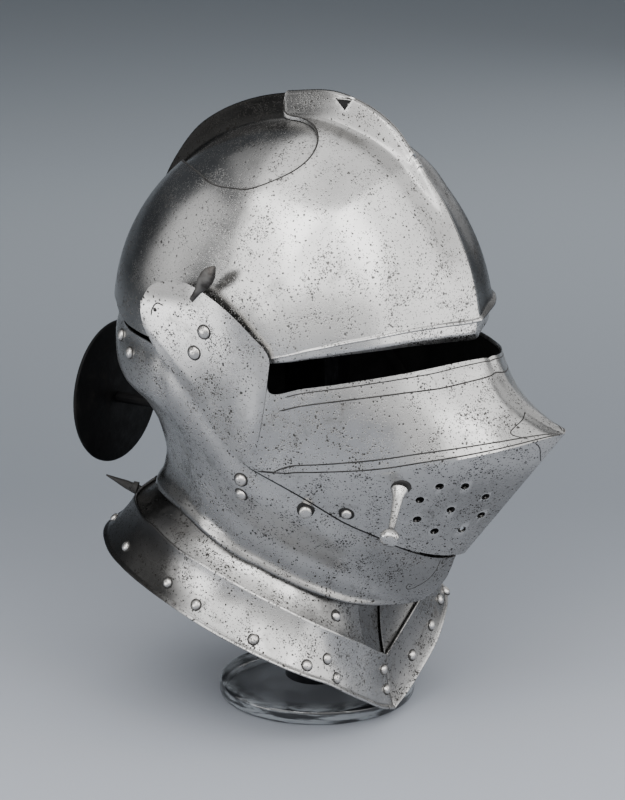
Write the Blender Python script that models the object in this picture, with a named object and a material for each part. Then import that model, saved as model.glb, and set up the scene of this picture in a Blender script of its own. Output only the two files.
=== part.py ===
"""Armet (a closed steel helmet) on a clear and black display stand.

Metres, +Z up, the face looks along -Y, the wearer's right is -X.
The origin is the middle of the stand base's underside.
"""
import math

import bmesh
import bpy
from mathutils import Vector

for old in list(bpy.data.objects):
    bpy.data.objects.remove(old, do_unlink=True)

# Driving sizes
HALF = 0.100            # half the width over the ears: the shape tables are shares of it
PLATE = 0.0018          # thickness of the helmet's plates
LAME_PLATE = 0.0014     # thickness of the collar lames
LAP = 0.0004            # gap between plates that lie on one another
SEAM = 0.0005           # half the gap of a butt seam
RIVET = 0.0027
DISC_RADIUS = 0.060
DISC_THICK = 0.0105
POST_RADIUS = 0.0195
RONDEL_RADIUS = 0.0445
STEM_RADIUS = 0.0034

HELMET_LIFT = 0.0059    # the helmet's tables start this far above the table
STAND_AT = Vector((0.17, 0.106, 0.0)) * HALF

BOWL_HALF_WIDTH = 0.965 * HALF
BOWL_CENTRE = Vector((0.0, 0.065, 2.36)) * HALF
VISOR_PIVOT = Vector((0.0, 0.44, 2.59)) * HALF
CHEEK_HINGE = Vector((-1.045, 0.0, 2.40)) * HALF
RONDEL_CENTRE = Vector((0.0, 1.45, 1.70)) * HALF
STEM_HEIGHT = 1.66 * HALF

# Colour, metallic, roughness, alpha
FINISH = {
    "polished_steel": ((0.50, 0.50, 0.50), 1.0, 0.30, 1.0),
    "brow_steel": ((0.56, 0.56, 0.56), 1.0, 0.26, 1.0),
    "dark_steel": ((0.16, 0.15, 0.14), 1.0, 0.45, 1.0),
    "rivet_steel": ((0.40, 0.38, 0.35), 1.0, 0.35, 1.0),
    "rondel_black": ((0.02, 0.02, 0.02), 0.0, 0.60, 1.0),
    "clear_acrylic": ((0.85, 0.90, 0.92), 0.0, 0.05, 0.35),
    "black_acrylic": ((0.015, 0.015, 0.016), 0.0, 0.15, 1.0),
}


def finish_named(name):
    made = bpy.data.materials.get(name)
    if made:
        return made
    colour, metallic, rough, alpha = FINISH[name]
    made = bpy.data.materials.new(name)
    made.use_nodes = True
    shader = made.node_tree.nodes["Principled BSDF"]
    shader.inputs["Base Color"].default_value = (*colour, 1.0)
    shader.inputs["Metallic"].default_value = metallic
    shader.inputs["Roughness"].default_value = rough
    shader.inputs["Alpha"].default_value = alpha
    made.diffuse_color = (*colour, alpha)
    return made


def piece(name, bm, finish, pivot=None, lift=HELMET_LIFT):
    """Turn a bmesh into a named piece whose origin lies on its joint."""
    pivot = (pivot or Vector()) + Vector((0, 0, lift))
    bmesh.ops.remove_doubles(bm, verts=bm.verts, dist=0.00002)
    bmesh.ops.dissolve_degenerate(bm, edges=bm.edges, dist=0.000005)
    bmesh.ops.recalc_face_normals(bm, faces=bm.faces)
    if bm.calc_volume(signed=True) < 0:
        bmesh.ops.reverse_faces(bm, faces=bm.faces)
    bmesh.ops.translate(bm, verts=bm.verts, vec=Vector((0, 0, lift)) - pivot)
    mesh = bpy.data.meshes.new(name)
    bm.to_mesh(mesh)
    bm.free()
    mesh.materials.append(finish_named(finish))
    made = bpy.data.objects.new(name, mesh)
    made.location = pivot
    bpy.context.scene.collection.objects.link(made)
    return made


def spot(x, y, z):
    return Vector((x, y, z)) * HALF


def level(table, u):
    """Straight-line lookup in a table of (place, value) pairs."""
    for (a, p), (b, q) in zip(table, table[1:]):
        if u <= b:
            return p + (q - p) * max(0.0, (u - a) / (b - a))
    return table[-1][1]


def along(table, u):
    """Smooth curve through the rows of a table; u counts rows."""
    last = len(table) - 1
    k = min(max(int(math.floor(u)), 0), last - 1)
    t = u - k
    p, q = Vector(table[k]), Vector(table[k + 1])
    before = Vector(table[k - 1]) if k > 0 else p * 2 - q
    after = Vector(table[k + 2]) if k + 2 <= last else q * 2 - p
    return 0.5 * (p * 2 + (q - before) * t + (before * 2 - p * 5 + q * 4 - after) * t * t
                  + (p * 3 - before - q * 3 + after) * t * t * t)


def shell(outer, inner):
    """Close two matching grids of points into one plate."""
    bm = bmesh.new()
    rows, cols = len(outer), len(outer[0])
    skins = [[[bm.verts.new(p) for p in row] for row in grid] for grid in (outer, inner)]
    for skin in skins:
        for r in range(rows - 1):
            for c in range(cols - 1):
                a, b, d, e = skin[r][c], skin[r][c + 1], skin[r + 1][c + 1], skin[r + 1][c]
                bm.faces.new((a, b, d))
                bm.faces.new((a, d, e))
    rim = ([(0, c) for c in range(cols - 1)] + [(r, cols - 1) for r in range(rows - 1)]
           + [(rows - 1, c) for c in range(cols - 1, 0, -1)] + [(r, 0) for r in range(rows - 1, 0, -1)])
    for (r, c), (s, d) in zip(rim, rim[1:] + rim[:1]):
        bm.faces.new((skins[0][r][c], skins[0][s][d], skins[1][s][d], skins[1][r][c]))
    return bm


def inset(grid, depth):
    """The same grid moved inwards; points on the middle plane stay on it."""
    rows, cols = len(grid), len(grid[0])
    normals, facing = [], 0.0
    for r in range(rows):
        for c in range(cols):
            p = grid[r][c]
            down = grid[min(r + 1, rows - 1)][c] - grid[max(r - 1, 0)][c]
            across = grid[r][min(c + 1, cols - 1)] - grid[r][max(c - 1, 0)]
            normals.append(down.cross(across).normalized())
            facing += normals[-1].dot(Vector((p.x, p.y - 0.1 * HALF, 0.0)))
            if abs(p.x) < 0.001:
                normals[-1].x = 0.0
                normals[-1].normalize()
    if facing < 0:
        depth = -depth
    return [[grid[r][c] - normals[r * cols + c] * depth for c in range(cols)] for r in range(rows)]


# Skull, brow reinforce and comb
# Angle from the brow over the top, radius without the comb, height of the comb
CREST = ((0, 1.150, 0.00), (8, 1.152, 0.012), (20, 1.158, 0.020), (31, 1.165, 0.030), (40, 1.175, 0.045),
         (49, 1.188, 0.060), (57, 1.200, 0.098), (65, 1.212, 0.148), (73, 1.220, 0.172), (81, 1.225, 0.180), (95, 1.212, 0.154),
         (110, 1.200, 0.150), (122, 1.195, 0.145), (137, 1.190, 0.095), (152, 1.185, 0.040),
         (165, 1.180, 0.012), (180, 1.175, 0.0))
BROW_EDGE = ((0.0, 7.0), (0.29, 8.5), (0.54, 9.6), (0.76, 9.7), (0.89, 8.4), (0.95, 5.4), (1.0, 1.0))
REAR_EDGE = ((0.0, 173.0), (0.67, 172.4), (0.74, 174.7), (0.83, 176.8), (0.90, 177.6), (1.0, 178.6))
# Station across the bowl, share of the comb's height there, plate's place in the comb (0) or bowl (1)
STATIONS = ((0.0, 1.0, 0.0), (0.024, 0.985, 0.0), (0.037, 0.84, 0.0), (0.044, 0.52, 0.0), (0.054, 0.18, 0.25),
            (0.085, 0.03, 0.8), (0.15, 0.0, 1.0), (0.28, 0.0, 1.0), (0.43, 0.0, 1.0), (0.58, 0.0, 1.0),
            (0.72, 0.0, 1.0), (0.84, 0.0, 1.0), (0.93, 0.0, 1.0), (0.98, 0.0, 1.0), (0.9995, 0.0, 1.0))
# How square the bowl is across, by angle, and along
ACROSS = ((0, 1.85), (60, 1.95), (110, 2.15), (180, 2.2))
LENGTHWISE = 2.35
BEAD = 0.0010


def bowl_section(angle, depths, lift=0.0):
    """Half a section of the bowl at one angle: points (x, radius) moved in by comb and bowl depths."""
    rho = level([(a, r) for a, r, h in CREST], angle) * HALF
    comb = level([(a, h) for a, r, h in CREST], angle) * HALF
    raw = []
    for s, c, m in STATIONS:
        x = s * BOWL_HALF_WIDTH
        raw.append(Vector((x, rho * (1 - s ** level(ACROSS, angle)) ** (1 / LENGTHWISE) + comb * c)))
    made = []
    for k, (p, (s, c, m)) in enumerate(zip(raw, STATIONS)):
        before = raw[k - 1] if k else Vector((-raw[1].x, raw[1].y))
        after = raw[k + 1] if k + 1 < len(raw) else Vector((p.x, -raw[k - 1].y))
        run = (after - before).normalized()
        normal = Vector((-run.y, run.x))
        depth = depths[0] + (depths[1] - depths[0]) * m
        moved = p - normal * (depth - lift * min(1.0, (1 - s) * 5))
        made.append(Vector((max(moved.x, 0.0) if k else 0.0, max(moved.y, 0.0))))
    return made


PLAIN_ROWS = tuple((0.05 + 0.95 * k / 13, 0.0) for k in range(14))
BEAD_ROWS = ((0.0, 0.55), (0.013, 1.0), (0.028, 1.0), (0.042, 0.4)) + PLAIN_ROWS
SKULL_ROWS = ((-0.03, 0.0),) + PLAIN_ROWS


def bowl_grid(depths, rows, bead=0.0):
    stations = [s for s, c, m in STATIONS]
    grid = []
    for share, bump in rows:
        lift = bump * bead
        half = []
        for j, s in enumerate(stations):
            front, rear = level(BROW_EDGE, s), level(REAR_EDGE, s)
            angle = front + (rear - front) * share
            x, radius = bowl_section(angle, depths, lift)[j]
            turn = math.radians(angle)
            half.append(BOWL_CENTRE + Vector((-x, -radius * math.cos(turn), radius * math.sin(turn))))
        grid.append(half[::-1] + [Vector((-p.x, p.y, p.z)) for p in half[1:]])
    return grid


def bowl_side(y, z):
    """Half width of the bowl's outer face at a place on its side."""
    back, rise = y - BOWL_CENTRE.y, z - BOWL_CENTRE.z
    angle = math.degrees(math.atan2(max(rise, 0.0), -back))
    share = min(math.hypot(back, rise) / (level([(a, r) for a, r, h in CREST], angle) * HALF), 0.999)
    return BOWL_HALF_WIDTH * (1 - share ** LENGTHWISE) ** (1 / level(ACROSS, angle))


def prism(outline, low, high):
    bm = bmesh.new()
    base = bm.faces.new([bm.verts.new((x, y, low)) for x, y in outline])
    raised = bmesh.ops.extrude_face_region(bm, geom=[base])["geom"]
    bmesh.ops.translate(bm, verts=[g for g in raised if isinstance(g, bmesh.types.BMVert)],
                        vec=(0, 0, high - low))
    bmesh.ops.recalc_face_normals(bm, faces=bm.faces)
    return bm


def cut(target, bm):
    """Cut a shape out of a piece with a hidden cutter."""
    mesh = bpy.data.meshes.new(target.name + "_cutter")
    bm.to_mesh(mesh)
    bm.free()
    cutter = bpy.data.objects.new(target.name + "_cutter", mesh)
    cutter.location.z = HELMET_LIFT
    bpy.context.scene.collection.objects.link(cutter)
    cutter.hide_render = True
    cutter.display_type = "WIRE"
    step = target.modifiers.new("opening", "BOOLEAN")
    step.operation = "DIFFERENCE"
    step.solver = "EXACT"
    step.object = cutter
    bpy.context.view_layer.update()
    cut_mesh = bpy.data.meshes.new_from_object(target.evaluated_get(bpy.context.evaluated_depsgraph_get()))
    target.modifiers.clear()
    target.data = cut_mesh
    bpy.data.objects.remove(cutter, do_unlink=True)


piece("skull", shell(bowl_grid((0.0013, PLATE + LAP), SKULL_ROWS),
                     bowl_grid((0.0023, 2 * PLATE + LAP), SKULL_ROWS)), "polished_steel")
brow = piece("brow_reinforce", shell(bowl_grid((0.0, 0.0), BEAD_ROWS, BEAD),
                                     bowl_grid((0.0010, PLATE), BEAD_ROWS)), "brow_steel")
# The window at the upper rear, seen from above
WINDOW = ((0.0, 0.20), (0.06, 0.19), (0.10, 0.03), (0.17, -0.085), (0.288, -0.178), (0.406, -0.21),
          (0.506, -0.186), (0.587, -0.123), (0.654, -0.025), (0.682, 0.085), (0.657, 0.286), (0.554, 0.464),
          (0.43, 0.62), (0.29, 0.75), (0.16, 0.84), (0.13, 1.02), (0.12, 1.30))
half_window = [(-x * HALF, y * HALF) for x, y in WINDOW]
cut(brow, prism(half_window + [(0.0, 1.30 * HALF)] + [(-x, y) for x, y in half_window[:0:-1]],
                2.62 * HALF, 4.2 * HALF))

# Visor: rails from the rear of the lobe to the middle of the face, wearer's right side
LOW_RAIL = ((-1.018, 0.52, 2.43), (-1.020, 0.45, 2.34), (-1.018, 0.38, 2.265), (-1.013, 0.30, 2.18),
            (-1.005, 0.20, 2.075), (-0.994, 0.08, 1.93), (-0.974, -0.04, 1.80), (-0.950, -0.12, 1.725),
            (-0.930, -0.165, 1.695), (-0.868, -0.32, 1.61), (-0.792, -0.44, 1.525), (-0.660, -0.59, 1.39),
            (-0.500, -0.71, 1.28), (-0.350, -0.80, 1.18), (-0.180, -0.91, 1.11), (-0.060, -0.985, 1.085),
            (0.0, -1.014, 1.085))
RIDGE_RAIL = ((-1.024, 0.535, 2.48), (-1.028, 0.46, 2.43), (-1.028, 0.38, 2.36), (-1.024, 0.295, 2.27),
              (-1.017, 0.185, 2.16), (-1.000, 0.06, 2.01), (-0.980, -0.065, 1.87), (-0.960, -0.145, 1.77),
              (-0.936, -0.19, 1.715), (-0.870, -0.415, 1.709), (-0.780, -0.635, 1.717), (-0.678, -0.850, 1.740),
              (-0.566, -1.052, 1.781), (-0.437, -1.25, 1.823), (-0.290, -1.434, 1.868), (-0.116, -1.60, 1.916),
              (0.0, -1.66, 1.925))
HOLLOW_RAIL = ((-1.030, 0.55, 2.56), (-1.032, 0.475, 2.60), (-1.032, 0.38, 2.58), (-1.030, 0.275, 2.51),
               (-1.025, 0.155, 2.40), (-1.015, 0.01, 2.24), (-1.000, -0.125, 2.10), (-0.985, -0.22, 1.98),
               (-0.955, -0.24, 1.95), (-0.895, -0.44, 1.965), (-0.810, -0.64, 1.985), (-0.695, -0.825, 2.01),
               (-0.565, -0.975, 2.04), (-0.425, -1.10, 2.065), (-0.270, -1.20, 2.095), (-0.100, -1.268, 2.115),
               (0.0, -1.275, 2.11))
SIGHT_RAIL = ((-1.032, 0.545, 2.63), (-1.032, 0.48, 2.725), (-1.031, 0.38, 2.77), (-1.030, 0.26, 2.78),
              (-1.030, 0.13, 2.74), (-1.020, -0.03, 2.65), (-1.000, -0.185, 2.52), (-0.975, -0.285, 2.40),
              (-0.948, -0.272, 2.188), (-0.885, -0.450, 2.222), (-0.800, -0.620, 2.252), (-0.690, -0.770, 2.278),
              (-0.570, -0.895, 2.297), (-0.430, -1.005, 2.313), (-0.270, -1.095, 2.324), (-0.100, -1.160, 2.32),
              (0.0, -1.16, 2.30))
# The sight edge has sagged on the wearer's left
LEFT_SAG = ((8, 0.0), (10, 0.045), (12, 0.075), (14, 0.06), (15, 0.025), (16, 0.0))


def visor_column(u):
    """Points of the visor from the cheek seam up to the sight, at one place along the rails."""
    low, ridge, hollow, sight = (along(rail, u) * HALF for rail in
                                 (LOW_RAIL, RIDGE_RAIL, HOLLOW_RAIL, SIGHT_RAIL))
    low = low + Vector((0.0, -0.35, 0.5)) * SEAM * 1.6
    return [low, low.lerp(ridge, 0.5), ridge, ridge.lerp(hollow, 0.5), hollow, hollow.lerp(sight, 0.5), sight]


places = [0, 0.5] + list(range(1, 16)) + [15.5, 16]
right = [visor_column(u) for u in places]
left = [[Vector((-p.x, p.y, p.z)) for p in column] for column in right[-2::-1]]
for u, column in zip(places[-2::-1], left):
    column[6].z -= level(LEFT_SAG, u) * HALF
    column[5].z -= level(LEFT_SAG, u) * HALF * 0.4
visor_grid = [list(row) for row in zip(*(right + left))]
visor = piece("visor", shell(visor_grid, inset(visor_grid, PLATE)), "polished_steel", VISOR_PIVOT)

# Cheekpieces
# How far the visor stands out from the cheek along their seam, by rail row
PROUD = ((0, 0.050), (2, 0.042), (4, 0.028), (6, 0.014), (8, 0.005), (10, 0.0), (16, 0.0))
REAR_TOP = ((-0.955, 0.46, 2.325), (-0.918, 0.575, 2.355), (-0.805, 0.80, 2.38), (-0.645, 0.965, 2.45),
            (-0.445, 1.090, 2.475), (-0.22, 1.165, 2.485), (0.0, 1.195, 2.49))
CHIN_TOP = ((0.0, -0.960, 1.062), (-0.06, -0.938, 1.066), (-0.175, -0.882, 1.095))
CHEEK_TOP = CHIN_TOP + tuple((x + level(PROUD, k), y, z) for k, (x, y, z) in reversed(list(enumerate(LOW_RAIL)))
                             if 2 <= k <= 13) + REAR_TOP
CHEEK_FOOT = ((0.0, -0.74, 0.742), (-0.06, -0.722, 0.742), (-0.14, -0.69, 0.745), (-0.24, -0.635, 0.757),
              (-0.35, -0.565, 0.775), (-0.46, -0.485, 0.81), (-0.56, -0.39, 0.865), (-0.64, -0.285, 0.92),
              (-0.71, -0.15, 0.99), (-0.745, -0.05, 1.04), (-0.768, 0.03, 1.068), (-0.788, 0.12, 1.11),
              (-0.788, 0.22, 1.155), (-0.77, 0.33, 1.20), (-0.735, 0.43, 1.238), (-0.70, 0.51, 1.262),
              (-0.655, 0.59, 1.275), (-0.56, 0.74, 1.29), (-0.45, 0.87, 1.30), (-0.31, 0.95, 1.30),
              (-0.15, 0.995, 1.30), (0.0, 1.01, 1.30))
# How far the foot turns in under the chin, by column
TUCK = ((0, 0.23), (1, 0.212), (2, 0.18), (3, 0.127), (4, 0.065), (5, 0.03), (6, 0.014), (21, 0.012))
CHEEK_LAST = len(CHEEK_TOP) - 1
# How far a column bows inwards from the straight line between its ends, by share of its height
CHIN_BOW = ((0.0, 0.0), (0.25, -0.022), (0.5, -0.038), (0.75, -0.034), (1.0, 0.0))
SIDE_BOW = ((0.0, 0.0), (0.2, -0.015), (0.45, 0.02), (0.7, 0.05), (0.88, 0.045), (1.0, 0.0))
NAPE_BOW = ((0.0, 0.0), (0.15, -0.055), (0.286, -0.074), (0.437, 0.033), (0.613, 0.10), (0.773, 0.117),
            (0.903, 0.075), (1.0, 0.0))


def cheek_point(u, v):
    """A point of the right cheek: u counts columns from the chin to the nape, v runs top to foot."""
    top, foot = along(CHEEK_TOP, u) * HALF, along(CHEEK_FOOT, u) * HALF
    if u < 14.5:
        top = top + Vector((0.0, 0.35, -0.5)) * SEAM * 1.6
    if v > 1.0:
        tuck = Vector((-foot.x, 0.12 * HALF - foot.y, 0.0)).normalized() * level(TUCK, u) * HALF
        point = foot + tuck
        return Vector((min(point.x, -SEAM), point.y, point.z))
    point = top.lerp(foot, v)
    chin = min(1.0, max(0.0, 1 - u / 6.0))
    nape = min(1.0, max(0.0, (u - 12.0) / 6.0))
    bow = (chin * level(CHIN_BOW, v) + nape * level(NAPE_BOW, v)
           + (1 - chin - nape) * level(SIDE_BOW, v)) * HALF
    inwards = Vector((-point.x, 0.12 * HALF - point.y, 0.0)).normalized()
    point = point + inwards * bow
    return Vector((min(point.x, -SEAM), point.y, point.z))


def ring(rows, side):
    """Mirror a grid of right-side rows to the named side."""
    if side == "right":
        return rows
    return [[Vector((-p.x, p.y, p.z)) for p in row] for row in rows]


# Collar: place along the cheek's foot, then the seam between the lames and the lower edge
LAME_SEAM = ((0.0, -0.48, 0.32), (-0.13, -0.478, 0.39), (-0.27, -0.48, 0.475), (-0.42, -0.475, 0.56),
             (-0.55, -0.455, 0.638), (-0.66, -0.40, 0.712), (-0.75, -0.30, 0.788), (-0.82, -0.14, 0.87),
             (-0.855, 0.04, 0.945), (-0.858, 0.24, 1.018), (-0.825, 0.46, 1.08), (-0.75, 0.66, 1.142),
             (-0.63, 0.85, 1.17), (-0.36, 1.07, 1.18), (0.0, 1.16, 1.18))
LAME_FOOT = ((0.0, -0.530, 0.010), (-0.15, -0.530, 0.066), (-0.32, -0.532, 0.163), (-0.50, -0.525, 0.27),
             (-0.665, -0.49, 0.38), (-0.80, -0.43, 0.458), (-0.89, -0.31, 0.527), (-0.94, -0.12, 0.60),
             (-0.95, 0.12, 0.675), (-0.935, 0.36, 0.755), (-0.88, 0.62, 0.83), (-0.78, 0.86, 0.883),
             (-0.62, 1.08, 0.915), (-0.36, 1.28, 0.945), (0.0, 1.36, 0.955))
LAME_HEAD = ((0.0, -0.45, 0.78), (-0.115, -0.448, 0.79), (-0.24, -0.445, 0.81), (-0.355, -0.425, 0.84),
             (-0.46, -0.385, 0.875), (-0.55, -0.315, 0.925), (-0.62, -0.22, 0.98), (-0.68, -0.09, 1.04),
             (-0.71, 0.06, 1.11), (-0.71, 0.22, 1.17), (-0.68, 0.38, 1.23), (-0.61, 0.53, 1.28),
             (-0.505, 0.675, 1.30), (-0.285, 0.855, 1.31), (0.0, 0.925, 1.31))
COLLAR_LAST = len(LAME_HEAD) - 1
COLLAR_STEPS = 21


def collar_point(head, foot, u, v, bow):
    point = along(head, u).lerp(along(foot, u), v) * HALF
    inwards = Vector((-point.x, 0.2 * HALF - point.y, 0.0)).normalized()
    point = point + inwards * bow * HALF * 4 * v * (1 - v)
    return Vector((min(point.x, -SEAM), point.y, point.z))


def collar(head, foot, bow, rows, lift=0.0, rim=0.0):
    grid = []
    for v in rows:
        line = []
        for k in range(COLLAR_STEPS + 1):
            p = collar_point(head, foot, k * COLLAR_LAST / COLLAR_STEPS, v, bow)
            outwards = Vector((p.x, p.y - 0.2 * HALF, 0.0)).normalized()
            p = p + outwards * (lift + (rim if v > 0.9 and v < 0.999 else 0.0))
            line.append(Vector((min(p.x, -SEAM), p.y, p.z)))
        grid.append(line)
    return grid


def dome(name, at, outwards, finish, pivot, radius=RIVET, height=0.0016, sides=6):
    """A rivet head standing a hair off its plate."""
    outwards = outwards.normalized()
    aside = outwards.orthogonal().normalized()
    up = outwards.cross(aside)
    at = at + outwards * 0.0005
    bm = bmesh.new()
    rings = []
    for share, rise in ((1.0, 0.0), (0.86, 0.55), (0.48, 0.92)):
        rings.append([bm.verts.new(at + (aside * math.cos(a) + up * math.sin(a)) * radius * share
                                   + outwards * height * rise)
                      for a in (math.tau * k / sides for k in range(sides))])
    bm.faces.new(rings[0])
    bm.faces.new(rings[-1])
    for low, high in zip(rings, rings[1:]):
        for k in range(sides):
            n = (k + 1) % sides
            bm.faces.new((low[k], low[n], high[n], high[k]))
    return piece(name, bm, finish, pivot)


def turned(profile, start, direction, sides):
    """Turn a profile of (radius, distance) pairs about a line."""
    direction = direction.normalized()
    aside = direction.orthogonal().normalized()
    up = direction.cross(aside)
    bm = bmesh.new()
    rings = []
    for radius, run in profile:
        middle = start + direction * run
        if radius == 0:
            rings.append([bm.verts.new(middle)])
        else:
            rings.append([bm.verts.new(middle + (aside * math.cos(a) + up * math.sin(a)) * radius)
                          for a in (math.tau * k / sides for k in range(sides))])
    for low, high in zip(rings, rings[1:]):
        for k in range(sides):
            n = (k + 1) % sides
            face = [low[k % len(low)], low[n % len(low)], high[n % len(high)], high[k % len(high)]]
            face = [v for i, v in enumerate(face) if v not in face[:i]]
            bm.faces.new(face)
    for end in (rings[0], rings[-1]):
        if len(end) > 1:
            bm.faces.new(end)
    return bm


def seat(surface, target, u_last, v_last=1.0):
    """The point of a surface nearest a wanted spot, and the outward direction there."""
    best = (9.0, 0.0, 0.0)
    for i in range(61):
        for k in range(21):
            u, v = u_last * i / 60, v_last * k / 20
            best = min(best, ((surface(u, v) - target).length, u, v))
    step_u, step_v = u_last / 60, v_last / 20
    for turn in range(7):
        near = [(best[1] + a * step_u, best[2] + b * step_v) for a in (-1, 0, 1) for b in (-1, 0, 1)]
        best = min([((surface(u, v) - target).length, u, v) for u, v in near
                    if 0 <= u <= u_last and 0 <= v <= v_last] + [best])
        step_u, step_v = step_u / 2, step_v / 2
    d, u, v = best
    du, dv = u_last / 300, v_last / 100
    a, b = max(u - du, 0), min(u + du, u_last)
    c, e = max(v - dv, 0), min(v + dv, v_last)
    normal = (surface(b, v) - surface(a, v)).cross(surface(u, e) - surface(u, c)).normalized()
    if normal.dot(Vector((target.x, target.y - 0.1 * HALF, 0.0))) < 0:
        normal.negate()
    return surface(u, v), normal


def lower_lame(u, v):
    """Outer face of the lower lame, lifted over the upper one."""
    p = collar_point(LOWER_HEAD, LAME_FOOT, u, v, 0.02)
    return p + Vector((p.x, p.y - 0.2 * HALF, 0.0)).normalized() * LOWER_LIFT


def upper_lame(u, v):
    return collar_point(LAME_HEAD, LAME_SEAM, u, v, 0.02)


def visor_face(u, v):
    """Outer face of the visor's right half: v 0 at the cheek seam, 6 at the sight."""
    column = visor_column(u)
    k = min(int(v), 5)
    return column[k].lerp(column[k + 1], v - k)


STEM_NOTCH = 0.0076
SEAT_GAP = 0.0003       # clearance between a piece and its seat
HINGE_COLUMNS = (14.95, 15.25, 15.55)
LOWER_LIFT = 0.0022
LOWER_HEAD = tuple(tuple(Vector(p).lerp(Vector(q), -0.10)) for p, q in zip(LAME_SEAM, LAME_FOOT))
CHEEK_RIVETS = ((-0.919, -0.058, 1.630), (-0.876, -0.029, 1.521))
# Rivets seen on the lower lames: the wearer's right, then the left (given as its mirror image)
LAME_RIVETS = {
    "right": ((-0.312, 1.270, 1.02), (-0.705, 0.894, 0.997), (-0.882, 0.478, 0.900), (-0.922, 0.254, 0.818),
              (-0.906, -0.132, 0.678), (-0.772, -0.419, 0.531), (-0.620, -0.468, 0.529), (-0.576, -0.503, 0.403),
              (-0.040, -0.50, 0.27), (-0.035, -0.51, 0.15)),
    "left": ((-0.312, 1.270, 1.02), (-0.705, 0.894, 0.997), (-0.882, 0.478, 0.900), (-0.922, 0.254, 0.818),
             (-0.810, -0.414, 0.506), (-0.669, -0.467, 0.493), (-0.490, -0.508, 0.387), (-0.256, -0.511, 0.268)),
}
for side, sign in (("right", 1.0), ("left", -1.0)):
    hinge = Vector((CHEEK_HINGE.x * sign, CHEEK_HINGE.y, CHEEK_HINGE.z))

    def flip(p):
        return Vector((p.x * sign, p.y, p.z))

    def rivet(name, surface, place, last, pivot, finish="rivet_steel", radius=RIVET, height=0.0016):
        at, outwards = seat(surface, spot(*place), *last)
        dome(name, flip(at), flip(outwards), finish, pivot, radius, height)

    heights = (0.0, 0.12, 0.25, 0.38, 0.50, 0.62, 0.74, 0.86, 1.0, 1.1)
    cheek_grid = ring([[cheek_point(u, v) for u in range(CHEEK_LAST + 1)] for v in heights], side)
    cheek = piece("cheek_" + side, shell(cheek_grid, inset(cheek_grid, PLATE)), "polished_steel", hinge)
    cut(cheek, turned(((STEM_NOTCH, 0.0), (STEM_NOTCH, 0.6 * HALF)),
                      Vector((0.0, 0.7 * HALF, STEM_HEIGHT)), Vector((0, 1, 0)), 14))
    upper = ring(collar(LAME_HEAD, LAME_SEAM, 0.02, (0.0, 0.3, 0.65, 1.0)), side)
    piece("collar_upper_" + side, shell(upper, inset(upper, LAME_PLATE)), "polished_steel", hinge)
    lower = ring(collar(LOWER_HEAD, LAME_FOOT, 0.02, (0.0, 0.3, 0.6, 0.88, 0.95, 1.0), LOWER_LIFT, 0.0012), side)
    piece("collar_lower_" + side, shell(lower, inset(lower, LAME_PLATE)), "polished_steel", hinge)
    cheek_span, lame_span, visor_span = (CHEEK_LAST, 1.0), (COLLAR_LAST, 1.0), (16, 6.0)
    for k, place in enumerate(CHEEK_RIVETS, 1):
        rivet("cheek_rivet_%s_%d" % (side, k), cheek_point, place, cheek_span, hinge, radius=0.0032, height=0.002)
    rivet("cheek_stud_" + side, cheek_point, (-0.790, -0.410, 1.471), cheek_span, hinge, radius=0.0038,
          height=0.003)
    rivet("collar_rivet_upper_" + side, upper_lame, (-0.452, -0.433, 0.737), lame_span, hinge)
    for k, place in enumerate(LAME_RIVETS[side], 1):
        rivet("collar_rivet_%s_%d" % (side, k), lower_lame, place, lame_span, hinge)
    # Visor trim on this side
    for k, place in enumerate(((-1.024, 0.119, 2.505), (-1.025, 0.186, 2.372)), 1):
        rivet("arm_rivet_%s_%d" % (side, k), visor_face, place, visor_span, VISOR_PIVOT, radius=0.0032,
              height=0.002)
    rivet("catch_stud_" + side, visor_face, (-0.674, -0.606, 1.443), visor_span, VISOR_PIVOT, "dark_steel",
          0.0035, 0.0028)
    rivet("pivot_pin_" + side, visor_face, (-1.032, 0.441, 2.591), visor_span, VISOR_PIVOT, "dark_steel",
          0.0024, 0.0008)
    # Leaf of the spring pin, standing clear of the bowl above the arm
    leaf = bmesh.new()
    foot, tip = spot(-1.038, 0.185, 2.695), spot(-1.070, 0.012, 2.912)
    run = (tip - foot).normalized()
    wide = run.cross(Vector((1, 0, 0))).normalized()
    head = leaf.faces.new([leaf.verts.new(flip(foot.lerp(tip, t) + wide * w * HALF)) for t, w in
                           ((0.0, 0.012), (0.25, 0.018), (0.5, 0.042), (0.75, 0.040), (1.0, 0.0),
                            (0.75, -0.040), (0.5, -0.042), (0.25, -0.018), (0.0, -0.012))])
    raised = bmesh.ops.extrude_face_region(leaf, geom=[head])["geom"]
    bmesh.ops.translate(leaf, verts=[g for g in raised if isinstance(g, bmesh.types.BMVert)],
                        vec=(-0.0016 * sign, 0, 0))
    piece("hinge_pin_" + side, leaf, "dark_steel", VISOR_PIVOT)
    boss_reach = visor_face(2.5, 4.0).x + PLATE + SEAT_GAP + bowl_side(VISOR_PIVOT.y, VISOR_PIVOT.z) + 0.0012
    boss_start = flip(Vector((-bowl_side(VISOR_PIVOT.y, VISOR_PIVOT.z) - 0.0012, VISOR_PIVOT.y, VISOR_PIVOT.z)))
    piece("pivot_boss_" + side, turned(((0.006, 0.0), (0.006, -boss_reach)), boss_start, Vector((-sign, 0, 0)), 12),
          "dark_steel")
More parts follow.
